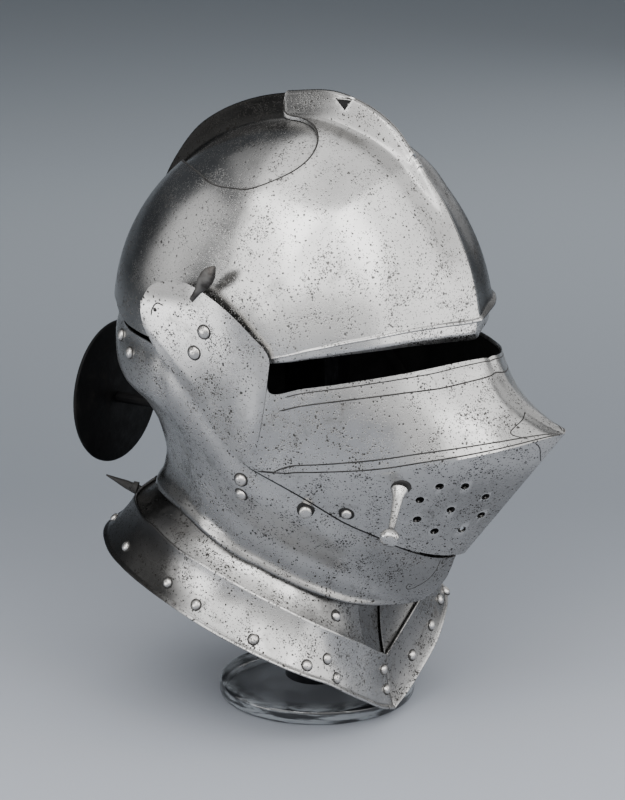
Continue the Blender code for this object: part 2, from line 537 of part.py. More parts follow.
    # Hinge leaf inside the skull's edge, behind the cheekpiece's top
    strap = []
    for rise in (0.155, 0.06, -0.005):
        row = []
        for u in HINGE_COLUMNS:
            y, z = cheek_point(u, 0.0).y, BOWL_CENTRE.z + rise * HALF
            row.append(Vector((-bowl_side(y, z + 0.006) + (2 * PLATE + LAP) * 1.04 + SEAT_GAP * 1.7, y, z)))
        strap.append(row)
    for v in (0.025, 0.075):
        strap.append([cheek_point(u, v) + Vector((PLATE * 1.1 + SEAT_GAP * 1.7, 0, 0)) for u in HINGE_COLUMNS])
    strap = ring(strap, side)
    piece("cheek_hinge_" + side, shell(strap, inset(strap, 0.0012)), "dark_steel")

# Lifting peg on the right of the visor
peg_root = spot(-0.592, -0.917, 1.610)
peg_end = spot(-0.85, -1.01, 1.43)
peg_run = (peg_end - peg_root).length
piece("lifting_peg", turned(((0.0034, -0.0014), (0.0032, 0.0), (0.0024, 0.4 * peg_run), (0.0019, 0.85 * peg_run),
                             (0.0034, 0.88 * peg_run), (0.0053, 0.96 * peg_run), (0.0054, 1.04 * peg_run),
                             (0.0036, 1.13 * peg_run), (0.0012, 1.17 * peg_run)),
                            peg_root, peg_end - peg_root, 10), "dark_steel", VISOR_PIVOT)

# Nape strip inside the rear seam, rondel and stem
strip_rows = []
for y, z in ((1.100, 2.70), (1.135, 2.60), (1.150, 2.50)):
    strip_rows.append([Vector((x, y - 0.009 * (x / 0.12) ** 2, z)) * HALF for x in (-0.12, -0.06, 0.0, 0.06, 0.12)])
for v in (0.12, 0.25, 0.38, 0.5, 0.62, 0.72):
    half = [cheek_point(CHEEK_LAST - d, v) for d in (0.545, 0.2725, 0.0)]
    half[-1].x = 0.0
    for p in half:
        p.y = min(p.y - PLATE - 0.0012, 1.150 * HALF - 0.9 * p.x ** 2 / HALF)
    strip_rows.append(half + [Vector((-p.x, p.y, p.z)) for p in half[-2::-1]])
piece("nape_strip", shell(strip_rows, inset(strip_rows, PLATE)), "dark_steel")
stem_start = Vector((0.0, strip_rows[-2][2].y - 0.0011, STEM_HEIGHT))
disc_back = RONDEL_CENTRE.y
piece("rondel_stem", turned(((STEM_RADIUS, 0.0), (STEM_RADIUS, disc_back - stem_start.y - 0.0004)), stem_start,
                            Vector((0, 1, 0)), 12), "dark_steel")
piece("rondel", turned(((RONDEL_RADIUS - 0.001, 0.0), (RONDEL_RADIUS, 0.0006), (RONDEL_RADIUS, 0.0018),
                        (RONDEL_RADIUS - 0.001, 0.0024)),
                       RONDEL_CENTRE, Vector((0, 1, 0)), 40), "rondel_black")

# Hook that holds the nape shut, on the right cheek's collar
hinge = CHEEK_HINGE.copy()
piece("nape_hook", turned(((0.0030, -0.0042), (0.0030, 0.0), (0.0026, 0.005), (0.0016, 0.011), (0.0005, 0.0185)),
                          spot(-0.16, 1.235, 1.15), Vector((-0.25, 0.88, 0.35)), 8), "dark_steel", hinge)
piece("hook_catch", turned(((0.0035, -0.0014), (0.0035, 0.0), (0.0035, 0.0015), (0.0020, 0.0022), (0.0020, 0.0040)),
                           spot(-0.36, 1.075, 1.235), Vector((-0.35, 0.9, 0.2)), 8), "dark_steel", hinge)

# Stand
up = Vector((0, 0, 1))
edge = 0.0022
piece("stand_base", turned(((DISC_RADIUS - edge, 0.0), (DISC_RADIUS - 0.3 * edge, 0.3 * edge),
                            (DISC_RADIUS, edge), (DISC_RADIUS, DISC_THICK - edge),
                            (DISC_RADIUS - 0.3 * edge, DISC_THICK - 0.3 * edge), (DISC_RADIUS - edge, DISC_THICK)),
                           STAND_AT, up, 40), "clear_acrylic", lift=0.0)
post_top = 3.045 * HALF + HELMET_LIFT
piece("stand_post", turned(((POST_RADIUS, 0.0), (POST_RADIUS, post_top - DISC_THICK),
                            (0.42 * HALF, post_top + 0.13 * HALF - DISC_THICK),
                            (0.44 * HALF, post_top + 0.19 * HALF - DISC_THICK),
                            (0.38 * HALF, post_top + 0.28 * HALF - DISC_THICK),
                            (0.25 * HALF, post_top + 0.37 * HALF - DISC_THICK),
                            (0.10 * HALF, post_top + 0.41 * HALF - DISC_THICK)),
                           STAND_AT + Vector((0, 0, DISC_THICK + 0.0003)), up, 28), "black_acrylic", lift=0.0)

for made in bpy.data.objects:
    if made.name.startswith(("stand", "rondel", "pivot")):
        continue
    for polygon in made.data.polygons:
        polygon.use_smooth = True
    made.data.set_sharp_from_angle(angle=math.radians(35))
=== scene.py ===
"""Looks of the armet on its display stand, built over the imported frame.

Metres, +Z up, the face looks along -Y, the wearer's right is -X.
"""
import math

import bmesh
import bpy
from mathutils import Matrix, Vector
from mathutils.bvhtree import BVHTree


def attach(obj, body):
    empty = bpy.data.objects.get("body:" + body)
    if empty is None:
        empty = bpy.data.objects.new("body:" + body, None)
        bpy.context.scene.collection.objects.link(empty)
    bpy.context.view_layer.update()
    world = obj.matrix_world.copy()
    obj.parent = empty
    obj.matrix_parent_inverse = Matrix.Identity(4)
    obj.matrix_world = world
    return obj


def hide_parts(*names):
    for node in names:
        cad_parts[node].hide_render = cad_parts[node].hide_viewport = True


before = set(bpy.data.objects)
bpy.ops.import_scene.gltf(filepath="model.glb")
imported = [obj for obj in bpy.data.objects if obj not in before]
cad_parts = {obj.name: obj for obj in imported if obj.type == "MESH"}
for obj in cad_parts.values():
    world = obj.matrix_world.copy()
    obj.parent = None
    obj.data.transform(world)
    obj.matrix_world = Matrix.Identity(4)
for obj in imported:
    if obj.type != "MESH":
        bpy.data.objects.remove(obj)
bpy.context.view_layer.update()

# Driving sizes, as in the part's source
HALF = 0.100
PLATE = 0.0018
LAME_PLATE = 0.0014
SIDES = (("right", 1.0), ("left", -1.0))        # the wearer's own
LAP = 0.0004
SEAM = 0.0005
LIFT = Vector((0.0, 0.0, 0.0059))
STAND_AT = Vector((0.17, 0.106, 0.0)) * HALF
DISC_RADIUS = 0.060
DISC_THICK = 0.0105
POST_RADIUS = 0.0195
RONDEL_RADIUS = 0.0445
BOWL_HALF_WIDTH = 0.965 * HALF
BOWL_CENTRE = Vector((0.0, 0.065, 2.36)) * HALF
VISOR_PIVOT = Vector((0.0, 0.44, 2.59)) * HALF
RONDEL_CENTRE = Vector((0.0, 1.45, 1.70)) * HALF
STEM_HEIGHT = 1.66 * HALF

# Camera: the photograph's viewing angle
AZIMUTH, ELEVATION, DISTANCE = math.radians(-58.0), math.radians(16.5), 2.0
AIM = Vector((0.0, 0.0033, 0.1919))
lens = bpy.data.cameras.new("camera")
lens.lens = 151.2
lens.sensor_width = 36.0
lens.sensor_fit = "AUTO"
lens.clip_end = 50.0
camera = bpy.data.objects.new("camera", lens)
bpy.context.scene.collection.objects.link(camera)
towards = Vector((math.sin(AZIMUTH) * math.cos(ELEVATION), -math.cos(AZIMUTH) * math.cos(ELEVATION),
                  math.sin(ELEVATION)))
camera.location = AIM + towards * DISTANCE
camera.rotation_euler = (-towards).to_track_quat("-Z", "Y").to_euler()
bpy.context.scene.camera = camera


class Signal:
    """A shader value that can be added, multiplied and compared in plain maths."""

    def __init__(self, tree, socket):
        self.tree, self.socket = tree, socket

    def maths(self, operation, other=None, clamp=False):
        node = self.tree.nodes.new("ShaderNodeMath")
        node.operation = operation
        node.use_clamp = clamp
        self.tree.links.new(self.socket, node.inputs[0])
        if isinstance(other, Signal):
            self.tree.links.new(other.socket, node.inputs[1])
        elif other is not None:
            node.inputs[1].default_value = other
        return Signal(self.tree, node.outputs[0])

    def __add__(self, other):
        return self.maths("ADD", other)

    def __mul__(self, other):
        return self.maths("MULTIPLY", other)

    def __sub__(self, other):
        return self.maths("SUBTRACT", other)

    def __rsub__(self, other):
        return self.maths("MULTIPLY", -1.0).maths("ADD", other)

    __radd__, __rmul__ = __add__, __mul__

    def clamped(self):
        return self.maths("ADD", 0.0, clamp=True)

    def ramp(self, low, high):
        """0 at low and 1 at high, smooth between."""
        node = self.tree.nodes.new("ShaderNodeMapRange")
        node.interpolation_type = "SMOOTHSTEP"
        node.inputs["From Min"].default_value = low
        node.inputs["From Max"].default_value = high
        self.tree.links.new(self.socket, node.inputs["Value"])
        return Signal(self.tree, node.outputs[0])


class Finish:
    """A procedural material around one Principled shader."""

    def __init__(self, name, colour, metallic=0.0, rough=0.5, **fixed):
        self.material = bpy.data.materials.new(name)
        self.material.use_nodes = True
        self.tree = self.material.node_tree
        self.shader = self.tree.nodes["Principled BSDF"]
        self.shader.inputs["Base Color"].default_value = (*colour, 1.0)
        self.shader.inputs["Metallic"].default_value = metallic
        self.shader.inputs["Roughness"].default_value = rough
        for key, value in fixed.items():
            self.shader.inputs[key.replace("_", " ")].default_value = value
        self.place = self.node("ShaderNodeTexCoord").outputs["Object"]

    def node(self, kind, settings=None, sockets=None):
        made = self.tree.nodes.new(kind)
        for key, value in (settings or {}).items():
            setattr(made, key, value)
        for key, value in (sockets or {}).items():
            if isinstance(value, Signal):
                self.tree.links.new(value.socket, made.inputs[key])
            elif isinstance(value, bpy.types.NodeSocket):
                self.tree.links.new(value, made.inputs[key])
            else:
                made.inputs[key].default_value = value
        return made

    def stretched(self, scale, turn=(0.0, 0.0, 0.0)):
        return self.node("ShaderNodeMapping", None,
                         {"Vector": self.place, "Scale": scale, "Rotation": turn}).outputs[0]

    def noise(self, scale, detail=2.0, rough=0.5, place=None, distort=0.0):
        made = self.node("ShaderNodeTexNoise", None, {"Vector": place or self.place, "Scale": scale, "Detail": detail,
                                                      "Roughness": rough, "Distortion": distort})
        return Signal(self.tree, made.outputs[0])

    def specks(self, scale, share, small, more):
        """Scattered specks: a share of the cells holds one, each of its own size."""
        wobble = self.node("ShaderNodeTexNoise", None, {"Vector": self.place, "Scale": scale * 1.6, "Detail": 1.0})
        bent = self.node("ShaderNodeVectorMath", {"operation": "MULTIPLY_ADD"},
                         {0: wobble.outputs["Color"], 1: (0.55 / scale,) * 3, 2: self.place}).outputs[0]
        made = self.node("ShaderNodeTexVoronoi", None, {"Vector": bent, "Scale": scale, "Randomness": 1.0})
        parts = self.node("ShaderNodeSeparateColor", None, {0: made.outputs["Color"]})
        chance, size = Signal(self.tree, parts.outputs[0]), Signal(self.tree, parts.outputs[1])
        here = (share - chance).ramp(0.0, 0.03)
        return here * (size * more + small - Signal(self.tree, made.outputs["Distance"])).ramp(0.0, 0.09)

    def painted(self, name):
        """A value written on the mesh's points."""
        return Signal(self.tree, self.node("ShaderNodeAttribute", {"attribute_name": name}).outputs["Fac"])

    def mixed(self, share, first, second):
        made = self.node("ShaderNodeMix", {"data_type": "RGBA"}, {0: share})
        for slot, value in ((6, first), (7, second)):
            if isinstance(value, bpy.types.NodeSocket):
                self.tree.links.new(value, made.inputs[slot])
            else:
                made.inputs[slot].default_value = (*value, 1.0)
        return made.outputs[2]

    def feed(self, socket, value):
        self.tree.links.new(value.socket if isinstance(value, Signal) else value, self.shader.inputs[socket])

    def raised(self, height, strength, distance):
        made = self.node("ShaderNodeBump", None, {"Height": height, "Strength": strength, "Distance": distance})
        self.tree.links.new(made.outputs[0], self.shader.inputs["Normal"])


def steel(name, tone, rough, pits, stains, tint=(1.0, 0.985, 0.96)):
    """Old polished steel: soft stains, fine scratches, clusters of dark pits, and the painted shade each plate
    carries.
    """
    made = Finish(name, tuple(tone * t for t in tint), 1.0, rough)
    cloud = made.noise(22.0, 4.0, 0.6)
    patch = made.noise(34.0, 3.0, 0.65).ramp(0.46 - 0.10 * pits, 0.66)
    grime = made.painted("grime")
    crowd = (patch + grime * 1.3 + made.noise(9.0, 2.0).ramp(0.45, 0.75) * 0.35).clamped()
    cluster = made.noise(70.0, 3.0, 0.65).ramp(0.47, 0.66)
    dense = (crowd * 0.9 + 0.34) * (cluster * 0.86 + 0.14)
    small = made.specks(1150.0, dense * 0.95 + 0.09, 0.30, 0.18)
    middling = made.specks(640.0, dense * 0.85 + 0.05, 0.25, 0.22)
    large = made.specks(280.0, dense * 0.42, 0.14, 0.18)
    pit = (small * 0.8 + middling + large).clamped() * (0.62 + 0.36 * pits)
    stain = (made.noise(60.0, 5.0, 0.7, distort=0.6).ramp(0.52, 0.80) * crowd * stains + grime * 0.22).clamped()
    scratch = made.noise(70.0, 3.0, 0.6, made.stretched((1.0, 1.0, 14.0), (0.2, 0.5, 0.3)))
    light = made.mixed(cloud.ramp(0.25, 0.75), tuple(tone * 0.84 * t for t in tint),
                       tuple(min(1.0, tone * 1.10) * t for t in tint))
    worn = made.mixed(stain * 0.62, light, (0.085, 0.078, 0.070))
    # The value painted on each plate darkens its colour: partly dark oxide, mostly painted shade
    worn = made.mixed(made.painted("tarnish_and_shade"), worn, (0.014, 0.0135, 0.013))
    made.feed("Base Color", made.mixed(pit * 0.90, worn, (0.020, 0.018, 0.016)))
    made.feed("Roughness", (cloud.ramp(0.3, 0.7) * 0.07 + scratch.ramp(0.4, 0.7) * 0.02 + stain * 0.22
                            + pit * 0.30 + (rough - 0.05)).clamped())
    made.raised(scratch * 0.012 + made.noise(45.0, 3.0, 0.5) * 0.5 - pit * 0.8 - stain * 0.15, 0.35, 0.0006)
    return made.material


STEEL = steel("worn_steel", 0.50, 0.26, 1.0, 1.0)
BROW_STEEL = steel("bright_steel", 0.61, 0.24, 0.8, 0.5)
COLLAR_STEEL = steel("collar_steel", 0.47, 0.26, 1.1, 1.2)
RIVET_STEEL = steel("rivet_steel", 0.55, 0.30, 0.3, 0.7, (1.0, 0.97, 0.93))


def dark_metal(name, tone, rough, metallic=1.0):
    made = Finish(name, (tone, tone * 0.94, tone * 0.88), metallic, rough)
    blotch = made.noise(120.0, 4.0, 0.6)
    made.feed("Base Color", made.mixed(blotch.ramp(0.35, 0.7), (tone * 0.55, tone * 0.5, tone * 0.46),
                                       (tone * 1.5, tone * 1.45, tone * 1.38)))
    made.feed("Roughness", blotch.ramp(0.3, 0.7) * 0.22 + (rough - 0.1))
    made.raised(made.noise(400.0, 3.0, 0.6), 0.4, 0.0004)
    return made.material


DARK_STEEL = dark_metal("dark_steel", 0.075, 0.34)
# Dull dark metal for small fittings and the rings round the lifting peg and rivets; round rivets the ring is dirt and
# painted contact shadow
GRIME = dark_metal("grime", 0.022, 0.75, 0.2)
LINE = dark_metal("engraved_line", 0.035, 0.6, 0.6)
# Near black standing for shade: the plates' inner skins, the mouths of holes and the sheets behind gaps
INSIDE_SHADE = dark_metal("inside_painted_shade", 0.0035, 0.9, 0.0)


def rondel_finish():
    made = Finish("rondel_black", (0.005, 0.005, 0.0055), 0.0, 0.65, Specular_IOR_Level=0.12)
    rust = made.noise(70.0, 5.0, 0.65)
    made.feed("Base Color", made.mixed(rust.ramp(0.52, 0.72), (0.003, 0.003, 0.0033), (0.012, 0.011, 0.010)))
    made.feed("Roughness", rust.ramp(0.3, 0.7) * 0.25 + 0.45)
    made.raised(made.noise(260.0, 4.0, 0.6), 0.5, 0.0005)
    return made.material


RONDEL_BLACK = rondel_finish()


def clear_finish():
    made = Finish("clear_acrylic", (0.62, 0.66, 0.70), 0.0, 0.04, Alpha=0.30, IOR=1.49, Specular_IOR_Level=0.9)
    # Painted reflection: light and dark streaks, stronger and more opaque at the rim, stand in for what the clear
    # edge reflects and bends
    painted_streak = made.noise(26.0, 3.0, 0.6, made.stretched((1.0, 1.0, 9.0)), 0.4)
    made.feed("Base Color", made.mixed(painted_streak.ramp(0.40, 0.56), (0.36, 0.39, 0.42), (0.012, 0.013, 0.015)))
    made.feed("Alpha", made.painted("rim") * (painted_streak.ramp(0.40, 0.60) * 0.40 + 0.34) + 0.22)
    return made.material


def black_finish():
    made = Finish("black_acrylic", (0.006, 0.006, 0.007), 0.0, 0.14, Specular_IOR_Level=0.5)
    made.feed("Roughness", made.noise(40.0, 3.0).ramp(0.3, 0.7) * 0.08 + 0.10)
    return made.material


CLEAR, BLACK = clear_finish(), black_finish()


def smooth(table, u):
    """Smooth curve through a table of (place, value) pairs."""
    if u <= table[0][0]:
        return table[0][1]
    if u >= table[-1][0]:
        return table[-1][1]
    k = max(i for i in range(len(table) - 1) if table[i][0] <= u)

    def slope(i):
        if i == 0 or i == len(table) - 1:
            return 0.0 if len(table) > 2 else (table[1][1] - table[0][1]) / (table[1][0] - table[0][0])
        left = (table[i][1] - table[i - 1][1]) / (table[i][0] - table[i - 1][0])
        right = (table[i + 1][1] - table[i][1]) / (table[i + 1][0] - table[i][0])
        return 0.0 if left * right <= 0 else 2 * left * right / (left + right)

    (a, p), (b, q) = table[k], table[k + 1]
    wide, t = b - a, (u - a) / (b - a)
    return ((2 * t ** 3 - 3 * t * t + 1) * p + (t ** 3 - 2 * t * t + t) * wide * slope(k)
            + (3 * t * t - 2 * t ** 3) * q + (t ** 3 - t * t) * wide * slope(k + 1))


def along(table, u):
    """Smooth curve through the rows of a table; u counts rows."""
    last = len(table) - 1
    k = min(max(int(math.floor(u)), 0), last - 1)
    t = u - k
    p, q = Vector(table[k]), Vector(table[k + 1])
    before = Vector(table[k - 1]) if k > 0 else p * 2 - q
    after = Vector(table[k + 2]) if k + 2 <= last else q * 2 - p
    return 0.5 * (p * 2 + (q - before) * t + (before * 2 - p * 5 + q * 4 - after) * t * t
                  + (p * 3 - before - q * 3 + after) * t * t * t)


def spot(x, y, z):
    return Vector((x, y, z)) * HALF


def spread(*stops):
    """Evenly stepped places: (start, end, steps) runs joined together."""
    places = [stops[0][0]]
    for start, end, steps in stops:
        places += [start + (end - start) * (k + 1) / steps for k in range(steps)]
    return places


TREES = {}
DIRT = []               # spots on the plates that gather grime: place, reach, strength


def dirt_at(p):
    total = 0.0
    for place, reach, strength in DIRT:
        gap = (p - place).length / reach
        if gap < 1.0:
            total = max(total, strength * (1 - gap) ** 1.5)
    return total


def finish_piece(name, bm, materials, body, nodes=(), smooth_all=True, angle=None):
    mesh = bpy.data.meshes.new(name)
    bm.to_mesh(mesh)
    bm.free()
    for material in materials:
        mesh.materials.append(material)
    for polygon in mesh.polygons:
        polygon.use_smooth = smooth_all
    if angle:
        mesh.set_sharp_from_angle(angle=math.radians(angle))
    made = bpy.data.objects.new(name, mesh)
    bpy.context.scene.collection.objects.link(made)
    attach(made, body)
    if nodes:
        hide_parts(*nodes)
    return made


def closed(bm, rings):
    """Skin rings of points, or a single point at an end, into one closed solid."""
    for low, high in zip(rings, rings[1:]):
        sides = max(len(low), len(high))
        for k in range(sides):
            n = (k + 1) % sides
            face = [low[k % len(low)], low[n % len(low)], high[n % len(high)], high[k % len(high)]]
            bm.faces.new([v for i, v in enumerate(face) if v not in face[:i]])
    for end in (rings[0], rings[-1]):
        if len(end) > 1:
            bm.faces.new(end)
    bmesh.ops.recalc_face_normals(bm, faces=bm.faces)
    return bm


def rings_along(profile, start, direction, sides, squash=1.0):
    """Turn a profile of (radius, distance) pairs about a line."""
    direction = direction.normalized()
    aside = direction.orthogonal().normalized()
    up = direction.cross(aside)
    bm = bmesh.new()
    rings = []
    for radius, run in profile:
        middle = start + direction * run
        turns = [math.tau * k / sides for k in range(sides if radius else 1)]
        rings.append([bm.verts.new(middle + (aside * math.cos(a) + up * math.sin(a) * squash) * radius)
                      for a in turns])
    return closed(bm, rings)


def turned(name, profile, start, direction, sides, material, body, node, angle=50):
    """A turned piece in the place of one node, or beside them if there is no such node."""
    finish_piece(name, rings_along(profile, start, direction, sides), (material,), body,
                 (node,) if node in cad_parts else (), angle=angle)


def dark_ring(name, profile, at, outwards, body, material=INSIDE_SHADE, sides=24, squash=1.0):
    """A flat dark ring lying on a plate: painted shade in the mouth of a hole, or dirt and painted shadow round a
    fitting.
    """
    finish_piece(name, rings_along(profile, at, outwards, sides, squash), (material,), body, ())


def inset(grid, depth):
    """The same grid moved inwards; points on the middle plane stay on it."""
    rows, cols = len(grid), len(grid[0])
    normals, facing = [], 0.0
    for r in range(rows):
        for c in range(cols):
            p = grid[r][c]
            down = grid[min(r + 1, rows - 1)][c] - grid[max(r - 1, 0)][c]
            across = grid[r][min(c + 1, cols - 1)] - grid[r][max(c - 1, 0)]
            normals.append(down.cross(across).normalized())
            facing += normals[-1].dot(Vector((p.x, p.y - 0.1 * HALF, 0.0)))
            if abs(p.x) < 0.001:
                normals[-1].x = 0.0
                normals[-1].normalize()
    if facing < 0:
        depth = -depth
    return [[grid[r][c] - normals[r * cols + c] * depth for c in range(cols)] for r in range(rows)]


def plate(name, outer, inner, finish, body, nodes=(), creases=(), edge_dirt=0.006,
          round_edge=0.0003, edge_strength=0.7, shade=None):
    """A plate between two grids with a rounded rim; grime gathers along its rim and at the dirt spots."""
    outer = [[p + LIFT for p in row] for row in outer]
    inner = [[p + LIFT for p in row] for row in inner]
    # The inner skin stops a little short of the rim, so it never shows past the plate's edge
    for row in inner:
        row[0], row[-1] = row[0].lerp(row[1], 0.5), row[-1].lerp(row[-2], 0.5)
    for edge_row, next_row in ((0, 1), (-1, -2)):
        inner[edge_row] = [p.lerp(q, 0.6) for p, q in zip(inner[edge_row], inner[next_row])]
    rows, cols = len(outer), len(outer[0])
    bm = bmesh.new()
    grime = bm.verts.layers.float.new("grime")
    tarnish_and_shade = bm.verts.layers.float.new("tarnish_and_shade")
    skins = [[[bm.verts.new(p) for p in row] for row in grid] for grid in (outer, inner)]
    reach = {}
    for r in range(rows):
        run = 0.0
        for c in range(cols):
            run += (outer[r][c] - outer[r][c - 1]).length if c else 0.0
            reach[r, c] = run
        total = run
        for c in range(cols):
            reach[r, c] = min(reach[r, c], total - reach[r, c])
    for c in range(cols):
        lengths = [0.0]
        for r in range(1, rows):
            lengths.append(lengths[-1] + (outer[r][c] - outer[r - 1][c]).length)
        for r in range(rows):
            near = min(reach[r, c], lengths[r], lengths[-1] - lengths[r])
            worn = edge_strength * max(0.0, 1 - near / edge_dirt) ** 1.6
            skins[0][r][c][grime] = max(worn, dirt_at(outer[r][c]))
            skins[1][r][c][grime] = 1.0
            # The shade function gives each outer point its painted shade, partly dark oxide, and more grime; the rim
            # copies the shade
            if shade:
                dark, dirt = shade(outer[r][c], r / (rows - 1))
                skins[0][r][c][tarnish_and_shade] = dark
                skins[0][r][c][grime] = max(skins[0][r][c][grime], dirt)
    for k, skin in enumerate(skins):
        for r in range(rows - 1):
            for c in range(cols - 1):
                corner = [skin[r][c], skin[r][c + 1], skin[r + 1][c + 1], skin[r + 1][c]]
                face = bm.faces.new(corner if k == 0 else corner[::-1])
                face.material_index = k
    rim = ([(0, c) for c in range(cols - 1)] + [(r, cols - 1) for r in range(rows - 1)]
           + [(rows - 1, c) for c in range(cols - 1, 0, -1)] + [(r, 0) for r in range(rows - 1, 0, -1)])
    loops = [[skins[0][r][c] for r, c in rim]]
    for share in (0.25, 0.75):
        ring_points = []
        for r, c in rim:
            here = outer[r][c]
            inward = Vector()
            if r == 0:
                inward += outer[min(1, rows - 1)][c] - here
            if r == rows - 1:
                inward += outer[rows - 2][c] - here
            if c == 0:
                inward += outer[r][1] - here
            if c == cols - 1:
                inward += outer[r][cols - 2] - here
            point = bm.verts.new(here.lerp(inner[r][c], share) - inward.normalized() * round_edge)
            point[grime] = edge_strength * 0.6
            point[tarnish_and_shade] = skins[0][r][c][tarnish_and_shade]
            ring_points.append(point)
        loops.append(ring_points)
    loops.append([skins[1][r][c] for r, c in rim])
    for first, second in zip(loops, loops[1:]):
        for k in range(len(rim)):
            n = (k + 1) % len(rim)
            bm.faces.new((first[n], first[k], second[k], second[n]))
    for r in creases:
        for c in range(cols - 1):
            edge = bm.edges.get((skins[0][r][c], skins[0][r][c + 1]))
            edge.smooth = False
    bm.normal_update()
    if bm.calc_volume(signed=True) < 0:
        bmesh.ops.reverse_faces(bm, faces=bm.faces)
    TREES[name] = BVHTree.FromBMesh(bm)
    # The inner skin is near black, painted shade for the inside of the helmet
    return finish_piece(name, bm, (finish, INSIDE_SHADE), body, nodes)


# Skull, brow reinforce and comb: angle from the brow over the top, radius without the comb, height of the comb
CREST = ((0, 1.130, 0.020), (8, 1.134, 0.030), (20, 1.138, 0.040), (31, 1.145, 0.050), (40, 1.155, 0.065),
         (49, 1.168, 0.080), (57, 1.198, 0.100), (65, 1.212, 0.146), (73, 1.220, 0.167), (81, 1.225, 0.172),
         (95, 1.212, 0.150), (110, 1.200, 0.150), (122, 1.195, 0.145), (137, 1.190, 0.095), (152, 1.185, 0.040),
         (165, 1.180, 0.012), (180, 1.175, 0.0))
RADIUS = tuple((a, r) for a, r, h in CREST)
COMB = tuple((a, h) for a, r, h in CREST)
BROW_EDGE = ((0.0, 7.0), (0.29, 8.5), (0.54, 9.6), (0.76, 9.7), (0.89, 8.4), (0.95, 5.4), (1.0, 1.0))
REAR_EDGE = ((0.0, 173.0), (0.67, 172.4), (0.74, 174.7), (0.83, 176.8), (0.90, 177.6), (1.0, 178.6))
ACROSS = ((0, 1.85), (60, 1.95), (110, 2.15), (180, 2.2))
LENGTHWISE = 2.35
# Across the comb: station, share of the comb's height, plate's place in the comb (0) or bowl (1)
COMB_SHARE = ((0.0, 1.0), (0.010, 0.995), (0.024, 0.955), (0.033, 0.84), (0.043, 0.56), (0.053, 0.30), (0.067, 0.14),
              (0.085, 0.06), (0.115, 0.018), (0.16, 0.0), (1.0, 0.0))
KEEL_SHARE = ((0.0, 1.0), (0.03, 0.80), (0.07, 0.52), (0.12, 0.24), (0.17, 0.07), (0.22, 0.0), (1.0, 0.0))
COMB_PLACE = ((0.0, 0.0), (0.040, 0.0), (0.054, 0.25), (0.085, 0.8), (0.15, 1.0), (1.0, 1.0))
STATIONS = spread((0.0, 0.048, 8), (0.048, 0.10, 6), (0.10, 0.16, 4), (0.16, 0.88, 26), (0.88, 0.98, 8),
                  (0.98, 0.9995, 4))


def bowl_grid(depths, rows, bead=0.0, flare=0.0):
    """Rows are (share of the way over the top, bead height, flare) triples."""
    grid = []
    for share, bump, flared in rows:
        half, far = [], []
        for j, s in enumerate(STATIONS):
            front, rear = smooth(BROW_EDGE, s), smooth(REAR_EDGE, s)
            angle = front + (rear - front) * share
            turn = math.radians(angle)
            for side, amount in ((half, 0.0), (far, flare * flared)):
                x, radius = bowl_point(round(angle, 4), depths, bump * bead, amount, j)
                side.append(BOWL_CENTRE + Vector((-x, -radius * math.cos(turn), radius * math.sin(turn))))
        grid.append(half[::-1] + [Vector((-p.x, p.y, p.z)) for p in far[1:]])
    return grid


def bowl_point(angle, depths, lift, flare, j):
    """One station of a section, worked out from it and its two neighbours only."""
    rho, comb, square = smooth(RADIUS, angle) * HALF, smooth(COMB, angle) * HALF, smooth(ACROSS, angle)

    # Low in front the comb is a plain keel; over the top it stands up as a fin
    fin = min(1.0, max(0.0, (angle - 32.0) / 44.0))
    fin = fin * fin * (3 - 2 * fin)

    def raw(s):
        share = smooth(KEEL_SHARE, s) * (1 - fin) + smooth(COMB_SHARE, s) * fin
        return Vector((s * BOWL_HALF_WIDTH, rho * (1 - s ** square) ** (1 / LENGTHWISE) + comb * share))

    s = STATIONS[j]
    p = raw(s)
    step = 0.0015 if s < 0.16 else 0.004
    before = raw(s - step) if s > step else Vector((-raw(s + step).x, raw(s + step).y))
    after = raw(s + step) if s + step < 1 else Vector((p.x, -before.y))
    run = (after - before).normalized()
    normal = Vector((-run.y, run.x))
    depth = depths[0] + (depths[1] - depths[0]) * smooth(COMB_PLACE, s)
    moved = p - normal * (depth - lift * min(1.0, (1 - s) * 5) - flare * max(0.0, 1 - abs(s - 0.3) / 0.5))
    return (max(moved.x, 0.0) if j else 0.0), max(moved.y, 0.0)


ARC = 0.355             # length of the brow reinforce's plate over the top, to turn millimetres into shares
EDGE_ROWS = [(mm * 0.001 / ARC, bump, flare) for mm, bump, flare in
             ((0.0, 0.25, 1.0), (0.4, 0.72, 1.0), (0.9, 0.97, 0.95), (1.5, 1.0, 0.85), (2.1, 0.80, 0.7),
              (2.6, 0.40, 0.5), (2.9, 0.06, 0.42), (3.3, 0.0, 0.35), (4.4, 0.0, 0.2), (6.0, 0.0, 0.08),
              (8.0, 0.0, 0.0))]
LAST_EDGE = EDGE_ROWS[-1][0]
OVER = [(LAST_EDGE + (1 - LAST_EDGE) * k / 104, 0.0, 0.0) for k in range(1, 105)]
SKULL_PLAIN = [(-0.03, 0.0, 0.0), (-0.015, 0.0, 0.0)] + [(k / 90, 0.0, 0.0) for k in range(91)]


def pushed(corners, run):
    """A flat outline pushed along a run."""
    bm = bmesh.new()
    base = bm.faces.new([bm.verts.new(corner) for corner in corners])
    raised = bmesh.ops.extrude_face_region(bm, geom=[base])["geom"]
    bmesh.ops.translate(bm, verts=[g for g in raised if isinstance(g, bmesh.types.BMVert)], vec=run)
    bmesh.ops.recalc_face_normals(bm, faces=bm.faces)
    return bm


